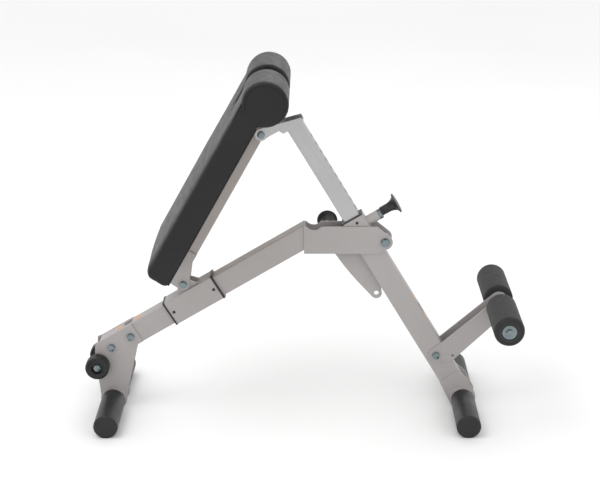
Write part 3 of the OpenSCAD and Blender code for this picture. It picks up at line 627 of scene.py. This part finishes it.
def make_wheel_bolts():
    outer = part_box("wheel_bolts")[1].y
    head = outer - HEAD
    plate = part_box("rear_plate_far")[0].y
    outside = plate + 4 * MM
    place = Vector((wheel_axis.x, 0, wheel_axis.z))
    diameter, flats = M10
    shape = Shape()
    for axis in (-side, side):
        shape.lathe([(plate - NUT, diameter / 2), (head, diameter / 2)], place, axis, 40)
        shape.hexagon(place, axis, flats, head, outer)
        shape.washer(place, axis, 10 * MM, outside, outside + 2.5 * MM)
        shape.hexagon(place, -axis, flats, -plate, NUT - plate)
        shape.washer(place, axis, 9.4 * MM, head - 0.4 * MM, head)
    shape.make("bolts_wheels", "frame", "zinc", replaces=("wheel_bolts",))


def make_roller_bolts():
    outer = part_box("roller_end_bolts")[1].y
    head = outer - HEAD
    place = Vector((roller_axis.x, 0, roller_axis.z))
    diameter, flats = M10
    dished = [
        (head - 2 * MM, 18.4 * MM), (head - 1.5 * MM, 19 * MM), (head - 0.7 * MM, 19 * MM),
        (head - 0.2 * MM, 18.2 * MM), (head - 0.2 * MM, 12 * MM), (head, 10.5 * MM),
        (head, 5 * MM),
    ]
    shape = Shape()
    for axis in (-side, side):
        shape.lathe([(head - 34 * MM, diameter / 2), (head, diameter / 2)], place, axis, 40)
        shape.washer(place, axis, 12 * MM, head - 3 * MM, head - 2 * MM)
        shape.lathe(dished, place, axis, 72)
        shape.hexagon(place, axis, flats, head, outer)
    shape.make("bolts_rollers", "leg", "zinc", replaces=("roller_end_bolts",))


# ---------------------------------------------------------------- rollers, wheels, knobs


def span_along(node, sign):
    """Inner and outer end of a round node along Y, and its radius; sign is -1 near and 1 far."""
    low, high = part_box(node)
    inner, outer = (low.y, high.y) if sign > 0 else (-high.y, -low.y)
    return inner, outer, (high.z - low.z) / 2


def make_roller(name, node, body, sign):
    """Foam sleeve with a soft skin, rounded rims and a dished end round the plug."""
    inner, outer, radius = span_along(node, sign)
    origin = (roller_axis.x, 0, roller_axis.z)
    bore = 17 * MM
    plug = 26 * MM
    deep = 5.5 * MM
    rim = 8 * MM
    straight = outer - inner - 2 * rim
    profile = [(inner + 0.6 * MM, bore), (inner + 0.2 * MM, 21 * MM)]
    profile += rounding(inner + rim, radius - rim, rim, -pi / 2, 10)
    profile += [(inner + rim + straight * i / 24, radius) for i in range(1, 24)]
    profile += rounding(outer - rim, radius - rim, rim, 0, 10)
    profile += [(outer - 0.5 * MM, plug + 1.5 * MM), (outer - 1.5 * MM, plug + 0.3 * MM),
                (outer - deep, plug), (outer - deep, bore)]

    def soft(height, r, turn):
        """Uneven skin, never past the CAD radius."""
        if r < plug:
            return r, height
        p = Vector((height * 26, cos(turn) * 1.1, sin(turn) * 1.1))
        swell = noise.noise(p + Vector((sign * 7.3, 0, 0))) * 0.5 * MM
        return r - 0.35 * MM + min(swell, 0.35 * MM), height

    shape = Shape()
    shape.lathe(profile, origin, side * sign, 128, loop=True, radius_at=soft)
    # end cap ring: out from the end of the sleeve, and radius, in mm
    edge = [(-7, 20), (-0.4, 20), (0.5, 21), (0.9, 23), (0.9, 26.5), (0.2, 28.4), (-0.8, 28.8),
            (-7, 25)]
    ring = Shape()
    ring.lathe([(outer + h * MM, r * MM) for h, r in edge], origin, side * sign, 96, loop=True)
    ring.make(name + "_cap", body, "black_plastic")
    return shape.make(name, body, "foam", angle=40, replaces=(node,))


def make_wheel(name, node, body, sign):
    """Moulded wheel with a rounded tread, two shallow grooves, a recessed web and a raised hub."""
    inner, outer, radius = span_along(node, sign)
    bore = 5.1 * MM
    rim = 4 * MM
    profile = [(inner, bore), (inner, 12 * MM), (inner + 1.5 * MM, 13.5 * MM),
               (inner + 1.5 * MM, radius - 7 * MM), (inner, radius - 5.5 * MM)]
    profile += rounding(inner + rim, radius - rim, rim, -pi / 2, 7)
    for groove in (0.36, 0.64):
        middle = inner + (outer - inner) * groove
        profile += [(middle - 1.1 * MM, radius), (middle - 0.6 * MM, radius - 0.9 * MM),
                    (middle + 0.6 * MM, radius - 0.9 * MM), (middle + 1.1 * MM, radius)]
    profile += rounding(outer - rim, radius - rim, rim, 0, 7)
    profile += [(outer, 25 * MM), (outer - 1.2 * MM, 23.4 * MM), (outer - 2.2 * MM, 20 * MM),
                (outer - 1.4 * MM, 17.4 * MM), (outer - 1.8 * MM, 16 * MM),
                (outer - 9 * MM, 15 * MM), (outer - 9 * MM, bore)]
    shape = Shape()
    shape.lathe(profile, (wheel_axis.x, 0, wheel_axis.z), side * sign, 96, loop=True)
    return shape.make(name, body, "wheel_rubber", angle=34, replaces=(node,))


def axis_of(node, axis):
    """A point of a round node's axis, level with the world's origin, and its low and high end."""
    low, high = reach(node, axis)
    # the middle of a box turned away from the axes still lies on the node's own axis
    middle = centre(node)
    return middle - axis * middle.dot(axis), low, high


def make_knob(name, node, body, axis):
    """Flared pull knob: neck with a collar, a trumpet flare and a dished face with a rim."""
    origin, start, _ = axis_of(node, axis)
    length = 48 * MM
    neck, flare = 12 * MM, 27.5 * MM
    lip = flare - 3 * MM
    profile = [(0, 6.2 * MM), (0, neck - 1.2 * MM), (0.8 * MM, neck - 0.2 * MM), (2 * MM, neck),
               (6 * MM, neck), (6.6 * MM, neck - 0.7 * MM), (7.6 * MM, neck - 0.7 * MM),
               (8.2 * MM, neck)]
    for i in range(1, 25):
        turn = pi / 2 * i / 24
        profile.append((18 * MM + 26 * MM * sin(turn), neck + (flare - neck) * (1 - cos(turn))))
    profile += [(length - 2.4 * MM, flare - 0.1 * MM), (length - 1.2 * MM, flare - 0.6 * MM),
                (length - 0.5 * MM, flare - 1.6 * MM), (length - 0.3 * MM, lip)]
    for i in range(1, 9):
        profile.append((length - 0.3 * MM - 2.0 * MM * sin(pi * i / 18), lip * (1 - i / 9)))
    profile.append((length - 2.3 * MM, 0.4 * MM))
    shape = Shape()
    shape.lathe([(h + start, r) for h, r in profile], origin, axis, 96)
    return shape.make(name, body, "black_plastic", angle=38, replaces=(node,))


def make_pin_collar(name, node, body, axis):
    """Bright ring that closes a pin housing, as on a bought-in pull pin."""
    origin, _, high = axis_of(node, axis)
    radius = 13.5
    # back from the housing's end and out from the ring's radius, in mm
    steps = [(9, 0), (8.6, 0.5), (5, 0.5), (4.4, 0.1), (3.6, 0.5), (0.8, 0.5), (0.2, -0.1),
             (0.2, -1.5), (9, -1.5)]
    profile = [(high - back * MM, (radius + out) * MM) for back, out in steps]
    shape = Shape()
    shape.lathe(profile, origin, axis, 72, loop=True)
    return shape.make(name, body, "zinc")


# ---------------------------------------------------------------- pad

# All in mm, in the pad's own directions: s along it, t out of it
HALF_WIDTH = 191.5
PAD_START = 27.0
PAD_BACK = 48.6
PAD_FRONT = 114.0
NOSE, HEEL = 21, 12
BOLSTER_S, BOLSTER_T, BOLSTER_R = 569.0, 58.0, 61.0
SLIT_HALF, SLIT_START = 25.0, 490.0
BOARD_END = BOLSTER_S - 62
SWELL = 2.2
CROWN = 5.0
VOXEL = 5.5
CLOTH_FRAMES = 20


def on_pad(point):
    """Place of a world point along the pad and out of it, in mm."""
    p = point - pad_pivot
    return p.dot(along_pad) / MM, p.dot(out_of_pad) / MM


def slab_section(inset, start, end):
    """Outline of the flat part of the pad, pulled in by inset, in mm along and out of the pad."""
    low_s = start + inset
    low_t, high_t = PAD_BACK, PAD_FRONT - inset
    nose = max(NOSE - inset, 3)
    heel = max(HEEL - inset, 3)
    points = [(end, low_t), (end, high_t)]
    for i in range(9):
        turn = pi / 2 + pi / 2 * i / 8
        points.append((low_s + nose + nose * cos(turn), high_t - nose + nose * sin(turn)))
    for i in range(7):
        turn = pi + pi / 2 * i / 6
        points.append((low_s + heel + heel * cos(turn), low_t + heel + heel * sin(turn)))
    return points


def round_section(inset):
    r = BOLSTER_R - inset
    turns = [tau * i / 48 for i in range(48)]
    return [(BOLSTER_S + r * cos(turn), BOLSTER_T + r * sin(turn)) for turn in turns]


def rounded_prism(shape, section, y0, y1, round0, round1):
    """Stacks sections across the pad, pulling in towards each end for a rounded edge."""
    turns = [pi / 2 * i / 6 for i in range(7)]
    layers = [(y0 + round0 * (1 - cos(q)), round0 * (1 - sin(q))) for q in turns]
    layers += [(y1 - round1 * (1 - cos(q)), round1 * (1 - sin(q))) for q in reversed(turns)]
    shape.rings([[Vector((s, y, t)) for s, t in section(inset)] for y, inset in layers])


def cushion_start():
    """The pad a little under size, as overlapping closed shells in pad coordinates (mm)."""
    shape = Shape()
    half = HALF_WIDTH - SWELL

    def slab(inset):
        return slab_section(inset + SWELL, PAD_START, SLIT_START + SWELL)

    def lobe_slab(inset):
        return slab_section(inset + SWELL, SLIT_START - 50, BOLSTER_S)

    def lobe_roll(inset):
        return round_section(inset + SWELL)

    rounded_prism(shape, slab, -half, half, 10, 10)
    inner = SLIT_HALF + 0.6
    for ends in ((-half, -inner, 9, 5), (inner, half, 5, 9)):
        for section in (lobe_slab, lobe_roll):
            rounded_prism(shape, section, *ends)
    return shape


def in_pad_matrix():
    rows = Matrix((along_pad, side, out_of_pad)).transposed()
    return Matrix.Translation(pad_pivot) @ rows.to_4x4() @ Matrix.Scale(MM, 4)


def modifier_applied(obj):
    graph = bpy.context.evaluated_depsgraph_get()
    mesh = bpy.data.meshes.new_from_object(obj.evaluated_get(graph), depsgraph=graph)
    obj.modifiers.clear()
    old = obj.data
    obj.data = mesh
    bpy.data.meshes.remove(old)


def inflate(obj):
    """Blows the cover up as cloth from the inside, by no more than SWELL at any point."""
    rest = [v.co.copy() for v in obj.data.vertices]
    held = obj.vertex_groups.new(name="held")
    for v in obj.data.vertices:
        s, t = on_pad(v.co)
        if t < PAD_BACK + 3 and s < BOARD_END:
            held.add([v.index], 1.0, "REPLACE")
    cloth = obj.modifiers.new("cloth", "CLOTH")
    settings = cloth.settings
    settings.quality = 5
    settings.mass = 0.3
    settings.tension_stiffness = 14
    settings.compression_stiffness = 14
    settings.shear_stiffness = 6
    settings.bending_stiffness = 0.8
    settings.use_pressure = True
    settings.uniform_pressure_force = 4
    settings.vertex_group_mass = "held"
    settings.effector_weights.gravity = 0
    cloth.collision_settings.use_collision = False
    cloth.point_cache.frame_start = 1
    cloth.point_cache.frame_end = CLOTH_FRAMES
    scene = bpy.context.scene
    for number in range(1, CLOTH_FRAMES + 1):
        scene.frame_set(number)
    modifier_applied(obj)
    scene.frame_set(1)
    limit = SWELL * MM
    for v, home in zip(obj.data.vertices, rest):
        move = v.co - home
        if move.length > limit:
            v.co = home + move * (limit / move.length)


def settle_vinyl(obj):
    """Shallow waves of the cover, and the back pressed flat against the board."""
    mesh = obj.data
    normals = [v.normal.copy() for v in mesh.vertices]
    for v, n in zip(mesh.vertices, normals):
        s, t = on_pad(v.co)
        y = v.co.y / MM
        wave = noise.noise(v.co * 11) * 0.14 + noise.noise(v.co * 37) * 0.06
        # crown: full in the middle of the seat, fading to the sides, the lobes and the back
        full = max(0.0, 1 - (y / HALF_WIDTH) ** 2)
        lower = min(1.0, max(0.0, (SLIT_START - 40 - s) / 120))
        height = min(1.0, max(0.0, (t - PAD_BACK) / (PAD_FRONT - PAD_BACK)))
        ahead = max(0.0, 1 - (s - PAD_START) / 60)
        # small folds gathered at the closed end of the slit
        gather = exp(-((s - SLIT_START) / 16) ** 2) * exp(-(y / 40) ** 2)
        fold = sin(y * 0.9) * gather * 0.5
        v.co += out_of_pad * (CROWN * full * lower * height * MM)
        v.co -= along_pad * (CROWN * full * height * ahead * MM)
        v.co += n * ((wave + fold - 0.15) * MM)
        if s < BOARD_END and t < PAD_BACK + 1.2:
            v.co += out_of_pad * ((PAD_BACK - t) * 0.8 * MM)


def make_cushion():
    start = cushion_start()
    mesh = bpy.data.meshes.new("pad_vinyl")
    mesh.from_pydata(start.verts, [], start.faces)
    mesh.transform(in_pad_matrix())
    obj = linked("pad_vinyl", mesh)
    outward(mesh)

    remesh = obj.modifiers.new("remesh", "REMESH")
    remesh.mode = "VOXEL"
    remesh.voxel_size = VOXEL * MM
    modifier_applied(obj)
    relax = obj.modifiers.new("relax", "SMOOTH")
    relax.factor = 0.5
    relax.iterations = 3
    modifier_applied(obj)
    inflate(obj)
    finer = obj.modifiers.new("finer", "SUBSURF")
    finer.levels = finer.render_levels = 1
    modifier_applied(obj)
    settle_vinyl(obj)

    for polygon in obj.data.polygons:
        polygon.use_smooth = True
    obj.data.materials.clear()
    obj.data.materials.append(FINISH["vinyl"])
    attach(obj, "pad")
    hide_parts("pad_cushion")
    return obj


def make_seams(cushion):
    """Groove line, painted near black as the shade in the seam's crease, and rolled seam round each lobe's end,
    with its stitches.
    """
    tree = BVHTree.FromObject(cushion, bpy.context.evaluated_depsgraph_get())
    middle = pad_point(BOLSTER_S, 0, BOLSTER_T)
    turns = [radians(-118) + radians(262) * i / 120 for i in range(121)]
    spokes = [along_pad * cos(turn) + out_of_pad * sin(turn) for turn in turns]
    roll = BOLSTER_R - 8.0
    seam, thread, seam_shade_line = Shape(), Shape(), Shape()

    def meet(starts, directions, distance):
        """Where each ray first meets the cover; rays that miss it are left out."""
        hits = [tree.ray_cast(p, d, distance)[0] for p, d in zip(starts, directions)]
        return [hit for hit in hits if hit is not None]

    for sign in (-1, 1):
        inward = [-side * sign] * len(turns)
        rim = pad_point(BOLSTER_S, sign * (HALF_WIDTH - 8.5), BOLSTER_T)
        groove = meet([rim + spoke * 0.1 for spoke in spokes], [-spoke for spoke in spokes], 0.09)
        # the seam is real; this bead's near-black colour, darker than the vinyl, is painted shade of the crease
        # along the seam
        seam_shade_line.bead(groove, radius=1.1 * MM, period=30 * MM, flat=0.9, ripple=0.06)
        beside = [pad_point(BOLSTER_S + roll * cos(turn), sign * (HALF_WIDTH + 30),
                            BOLSTER_T + roll * sin(turn)) for turn in turns]
        ring = meet(beside, inward, 0.08)
        seam.bead(ring, radius=4.6 * MM, period=40 * MM, flat=0.9, ripple=0.04)
        for i in range(2, len(ring) - 3, 2):
            a = ring[i] + side * (sign * 0.5 * MM)
            b = ring[i + 1] + side * (sign * 0.5 * MM)
            pull = Vector((middle.x - a.x, 0, middle.z - a.z)).normalized() * (5.6 * MM)
            ends = (a + pull, a + pull + (b - a) * 0.8)
            hits = meet([p + side * (sign * 0.03) for p in ends], inward, 0.08)
            if len(hits) == 2:
                stitch = [h + side * (sign * 0.2 * MM) for h in hits]
                thread.bead(stitch, radius=0.55 * MM, period=8 * MM)
    seam.make("pad_seam_roll", "pad", "vinyl")
    seam_shade_line.make("pad_seam", "pad", "vinyl", material=SEAM_SHADE_LINE)
    thread.make("pad_stitches", "pad", "vinyl", material=THREAD)


HEM_EDGE, HEM_WIDTH = 6.0, 24.0
# Across the hem (0 to 1) and out of the pad (mm); it lies on the back of the board
HEM_SECTION = ((0, 49.4), (0, 46.6), (0.06, 45.9), (0.5, 45.8), (0.92, 45.6), (1.0, 46.0),
               (1.0, 49.4))


def hem_strip(hem, s0, s1, y0, y1):
    """Flat strip of folded cover on the back of the board, with a wavy inner edge."""
    lengthwise = abs(s1 - s0) > abs(y1 - y0)
    rings = []
    for i in range(41):
        f = i / 40
        ring = []
        wave = noise.noise(Vector((f * 9, s0 * 0.01, y0 * 0.01))) * 1.6
        for u, t in HEM_SECTION:
            ripple = wave if u > 0.8 else 0
            if lengthwise:
                s, y = s0 + (s1 - s0) * f, y0 + (y1 - y0) * u + ripple
            else:
                s, y = s0 + (s1 - s0) * u + ripple, y0 + (y1 - y0) * f
            ring.append(pad_point(s, y, t))
        rings.append(ring)
    hem.rings(rings)


def staple(staples, s, y, along):
    """Staple with its back on the hem and both legs into the board."""
    ends = ((s - 5, y), (s + 5, y)) if along else ((s, y - 5), (s, y + 5))
    (s0, y0), (s1, y1) = ends
    points = [pad_point(s0, y0, 46.6), pad_point(s0, y0, 45.3), pad_point(s1, y1, 45.3),
              pad_point(s1, y1, 46.6)]
    staples.bead(points, radius=0.5 * MM, period=20 * MM)


def make_hem():
    """The cover's folded hem on the back of the board, and its staples."""
    outer = HALF_WIDTH - HEM_EDGE
    start = PAD_START + HEM_EDGE
    hem, staples = Shape(), Shape()
    hem_strip(hem, PAD_START + 12, 505, -outer, -outer + HEM_WIDTH)
    hem_strip(hem, PAD_START + 12, 505, outer, outer - HEM_WIDTH)
    hem_strip(hem, start, start + HEM_WIDTH, -outer + HEM_WIDTH - 2, outer - HEM_WIDTH + 2)
    hem.make("pad_hem", "pad", "vinyl")
    for i in range(15):
        for sign in (-1, 1):
            staple(staples, PAD_START + 30 + i * 31, sign * (outer - HEM_WIDTH * 0.55), True)
    for i in (-4, -3, -2, -1, 1, 2, 3, 4):
        staple(staples, start + HEM_WIDTH * 0.55, i * 34, False)
    staples.make("pad_staples", "pad", "zinc")


# ---------------------------------------------------------------- welds and decals

FOOT_RADIUS = 30 * MM
HOUSING_WELD = 13.8 * MM


def circle(middle, axis, radius, count=48):
    axis = Vector(axis).normalized()
    a = axis.orthogonal().normalized()
    b = axis.cross(a)
    turns = [tau * i / count for i in range(count)]
    return [middle + (a * cos(turn) + b * sin(turn)) * radius for turn in turns]


def foot_ring(middle, y, radius):
    """Arc round a foot tube, open at the bottom where the plate stops short of the floor."""
    opening = radians(34)
    turns = [-pi / 2 + opening + (tau - 2 * opening) * i / 72 for i in range(73)]
    return [Vector((middle.x + radius * cos(q), y, middle.z + radius * sin(q))) for q in turns]


def weld_feet():
    leg_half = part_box("leg_tube")[1].y
    back, front_face = reach("leg_tube", up_beam)
    plate_top = up_strut * (reach("front_plate_near", up_strut)[1] + 0.3 * MM)
    for name, tube, plate, body in (
        ("weld_rear_foot", "rear_foot_tube", "hub_plate_far", "frame"),
        ("weld_front_foot", "front_foot_tube", "front_plate_far", "leg"),
    ):
        shape = Shape()
        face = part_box(plate)[1].y + 0.4 * MM
        for sign in (-1, 1):
            shape.bead(foot_ring(centre(tube), sign * face, FOOT_RADIUS + 0.6 * MM))
            if body == "leg":
                y = side * (sign * (leg_half + 0.4 * MM))
                ends = (up_beam * (back + 3 * MM), up_beam * (front_face - 3 * MM))
                shape.bead([end + plate_top + y for end in ends], radius=1.8 * MM)
        shape.make(name, body, "frame_paint")


def weld_housings():
    for name, node, body, axis in (
        ("weld_strut_pin_housing", "strut_pin_housing", "leg", up_beam),
        ("weld_fold_pin_housing", "fold_pin_housing", "frame", side),
    ):
        origin, low, _ = axis_of(node, axis)
        shape = Shape()
        ring = circle(origin + axis * (low + 0.3 * MM), axis, HOUSING_WELD)
        shape.bead(ring, closed=True, radius=1.8 * MM)
        shape.make(name, body, "frame_paint")


def weld_hub():
    """Frame of four beads where the beam enters the hub plates."""
    beam_low, beam_high = reach("main_beam", up_strut)
    beam_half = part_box("main_beam")[1].y
    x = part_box("hub_plate_near")[0].x - 0.3 * MM
    middle_z = (beam_low + beam_high) / 2 / up_strut.z
    middle_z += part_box("hub_plate_near")[0].x * (up_beam.z / up_beam.x)
    rise = (beam_high - beam_low) / 2 / up_strut.z
    low, high = middle_z - rise, middle_z + rise
    shape = Shape()
    for y in (-beam_half - 0.1 * MM, beam_half + 0.1 * MM):
        shape.bead([Vector((x, y, low + 4 * MM)), Vector((x, y, high - 4 * MM))], radius=1.5 * MM)
    for z in (low, high):
        ends = (-beam_half + 4 * MM, beam_half - 4 * MM)
        shape.bead([Vector((x, y, z)) for y in ends], radius=1.5 * MM)
    shape.make("weld_hub", "frame", "frame_paint")


def weld_ears():
    low, high = reach("carriage_ears", up_beam)
    base = up_strut * (reach("carriage_ears", up_strut)[0] + 0.4 * MM)
    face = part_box("carriage_ears")[1].y
    ends = (up_beam * (low + 4 * MM), up_beam * (high - 4 * MM))
    shape = Shape()
    for sign in (-1, 1):
        for y in (face + 0.3 * MM, face - 4.3 * MM):
            shape.bead([end + base + side * (sign * y) for end in ends], radius=1.5 * MM)
    shape.make("weld_carriage_ears", "carriage", "frame_paint")


def weld_pad_frame():
    """Beads of the pad lugs and of the cross pieces, placed on the pad in mm."""
    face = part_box("pad_lug_far")[0].y / MM + 0.3
    shape = Shape()
    for sign in (-1, 1):
        y = sign * face
        shape.bead([pad_point(93, y, 12), pad_point(93, y, 40)], radius=1.6 * MM)
    for s in (90, 120, 350, 380):
        for y in (-20.6, 20.6):
            shape.bead([pad_point(s, y, 42.6), pad_point(s + 0.01, y, 36)], radius=1.2 * MM)
    for s in (88.8, 121.2, 348.8, 381.2):
        shape.bead([pad_point(s, -16, 43), pad_point(s, 16, 43)], radius=1.3 * MM)
    shape.make("weld_pad_frame", "pad", "frame_paint")


def weld_quadrant():
    back = up_beam * (reach("leg_tube", up_beam)[0] - 0.3 * MM)
    low, high = reach("lock_quadrant", up_strut)
    shape = Shape()
    for sign in (-1, 1):
        y = side * (sign * 3.4 * MM)
        ends = (up_strut * (low + 22 * MM), up_strut * (high - 24 * MM))
        shape.bead([back + end + y for end in ends], radius=1.6 * MM)
    shape.make("weld_lock_quadrant", "leg", "frame_paint")


def weld_axle():
    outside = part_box("roller_arm")[1].y + 0.1 * MM
    shape = Shape()
    for sign in (-1, 1):
        middle = Vector((roller_axis.x, sign * outside, roller_axis.z))
        shape.bead(circle(middle, side, 12.9 * MM), closed=True, radius=1.0 * MM)
    shape.make("weld_roller_axle", "leg", "frame_paint")


def sticker(name, body, material, middle, along, out, length):
    """Plain bar with rounded corners, lying on a face that looks out."""
    width, corner, steps = 24 * MM, 2 * MM, 6
    outline = []
    for i, (sx, sy) in enumerate(((1, 1), (-1, 1), (-1, -1), (1, -1))):
        for j in range(steps + 1):
            turn = pi / 2 * i + pi / 2 * j / steps
            outline.append((sx * (length / 2 - corner) + corner * cos(turn),
                            sy * (width / 2 - corner) + corner * sin(turn)))
    shape = Shape()
    shape.rings([[middle + along * x + side * y + out * h for x, y in outline]
                 for h in (-0.1 * MM, 0.22 * MM)])
    shape.make(name, body, "black_plastic", material=material)


def make_decals():
    """Plain coloured bars where the real bench carries stickers; no lettering."""
    beam_start = reach("main_beam", up_beam)[0]
    beam_top = up_strut * reach("main_beam", up_strut)[1]
    leg_start = reach("leg_tube", up_strut)[0]
    leg_front = up_beam * reach("leg_tube", up_beam)[1]
    for name, material, place, length in (
        ("a", ORANGE, 60, 18), ("b", BLACK, 90, 26), ("c", ORANGE, 120, 18),
    ):
        middle = up_beam * (beam_start + place * MM) + beam_top
        sticker("decal_beam_" + name, "frame", material, middle, up_beam, up_strut, length * MM)
    for name, material, place, length in (
        ("a", ORANGE, 314, 18), ("b", BLACK, 281, 30), ("c", ORANGE, 247, 18),
    ):
        middle = leg_front + up_strut * (leg_start + place * MM)
        sticker("decal_leg_" + name, "leg", material, middle, up_strut, up_beam, length * MM)


def make_floor():
    mesh = bpy.data.meshes.new("floor")
    work = bmesh.new()
    bmesh.ops.create_circle(work, cap_ends=True, segments=96, radius=40)
    work.to_mesh(mesh)
    work.free()
    mesh.materials.append(studio_floor())
    floor = linked("floor", mesh)
    floor.location.z = -0.2 * MM


paint_nodes()
make_floor()
make_bolts()
make_wheel_bolts()
make_roller_bolts()
make_roller("roller_foam_sleeve_near", "roller_foam_near", "roller_near", -1)
make_roller("roller_foam_sleeve_far", "roller_foam_far", "roller_far", 1)
make_wheel("wheel_tyre_near", "wheel_near", "wheel_near", -1)
make_wheel("wheel_tyre_far", "wheel_far", "wheel_far", 1)
make_knob("knob_strut_pin", "strut_pin_knob", "strut_pin", up_beam)
make_knob("knob_fold_pin", "fold_pin_knob", "fold_pin", side)
make_pin_collar("collar_strut_pin", "strut_pin_housing", "leg", up_beam)
make_pin_collar("collar_fold_pin", "fold_pin_housing", "frame", side)
make_seams(make_cushion())
make_hem()
weld_feet()
weld_housings()
weld_hub()
weld_ears()
weld_pad_frame()
weld_quadrant()
weld_axle()
make_decals()
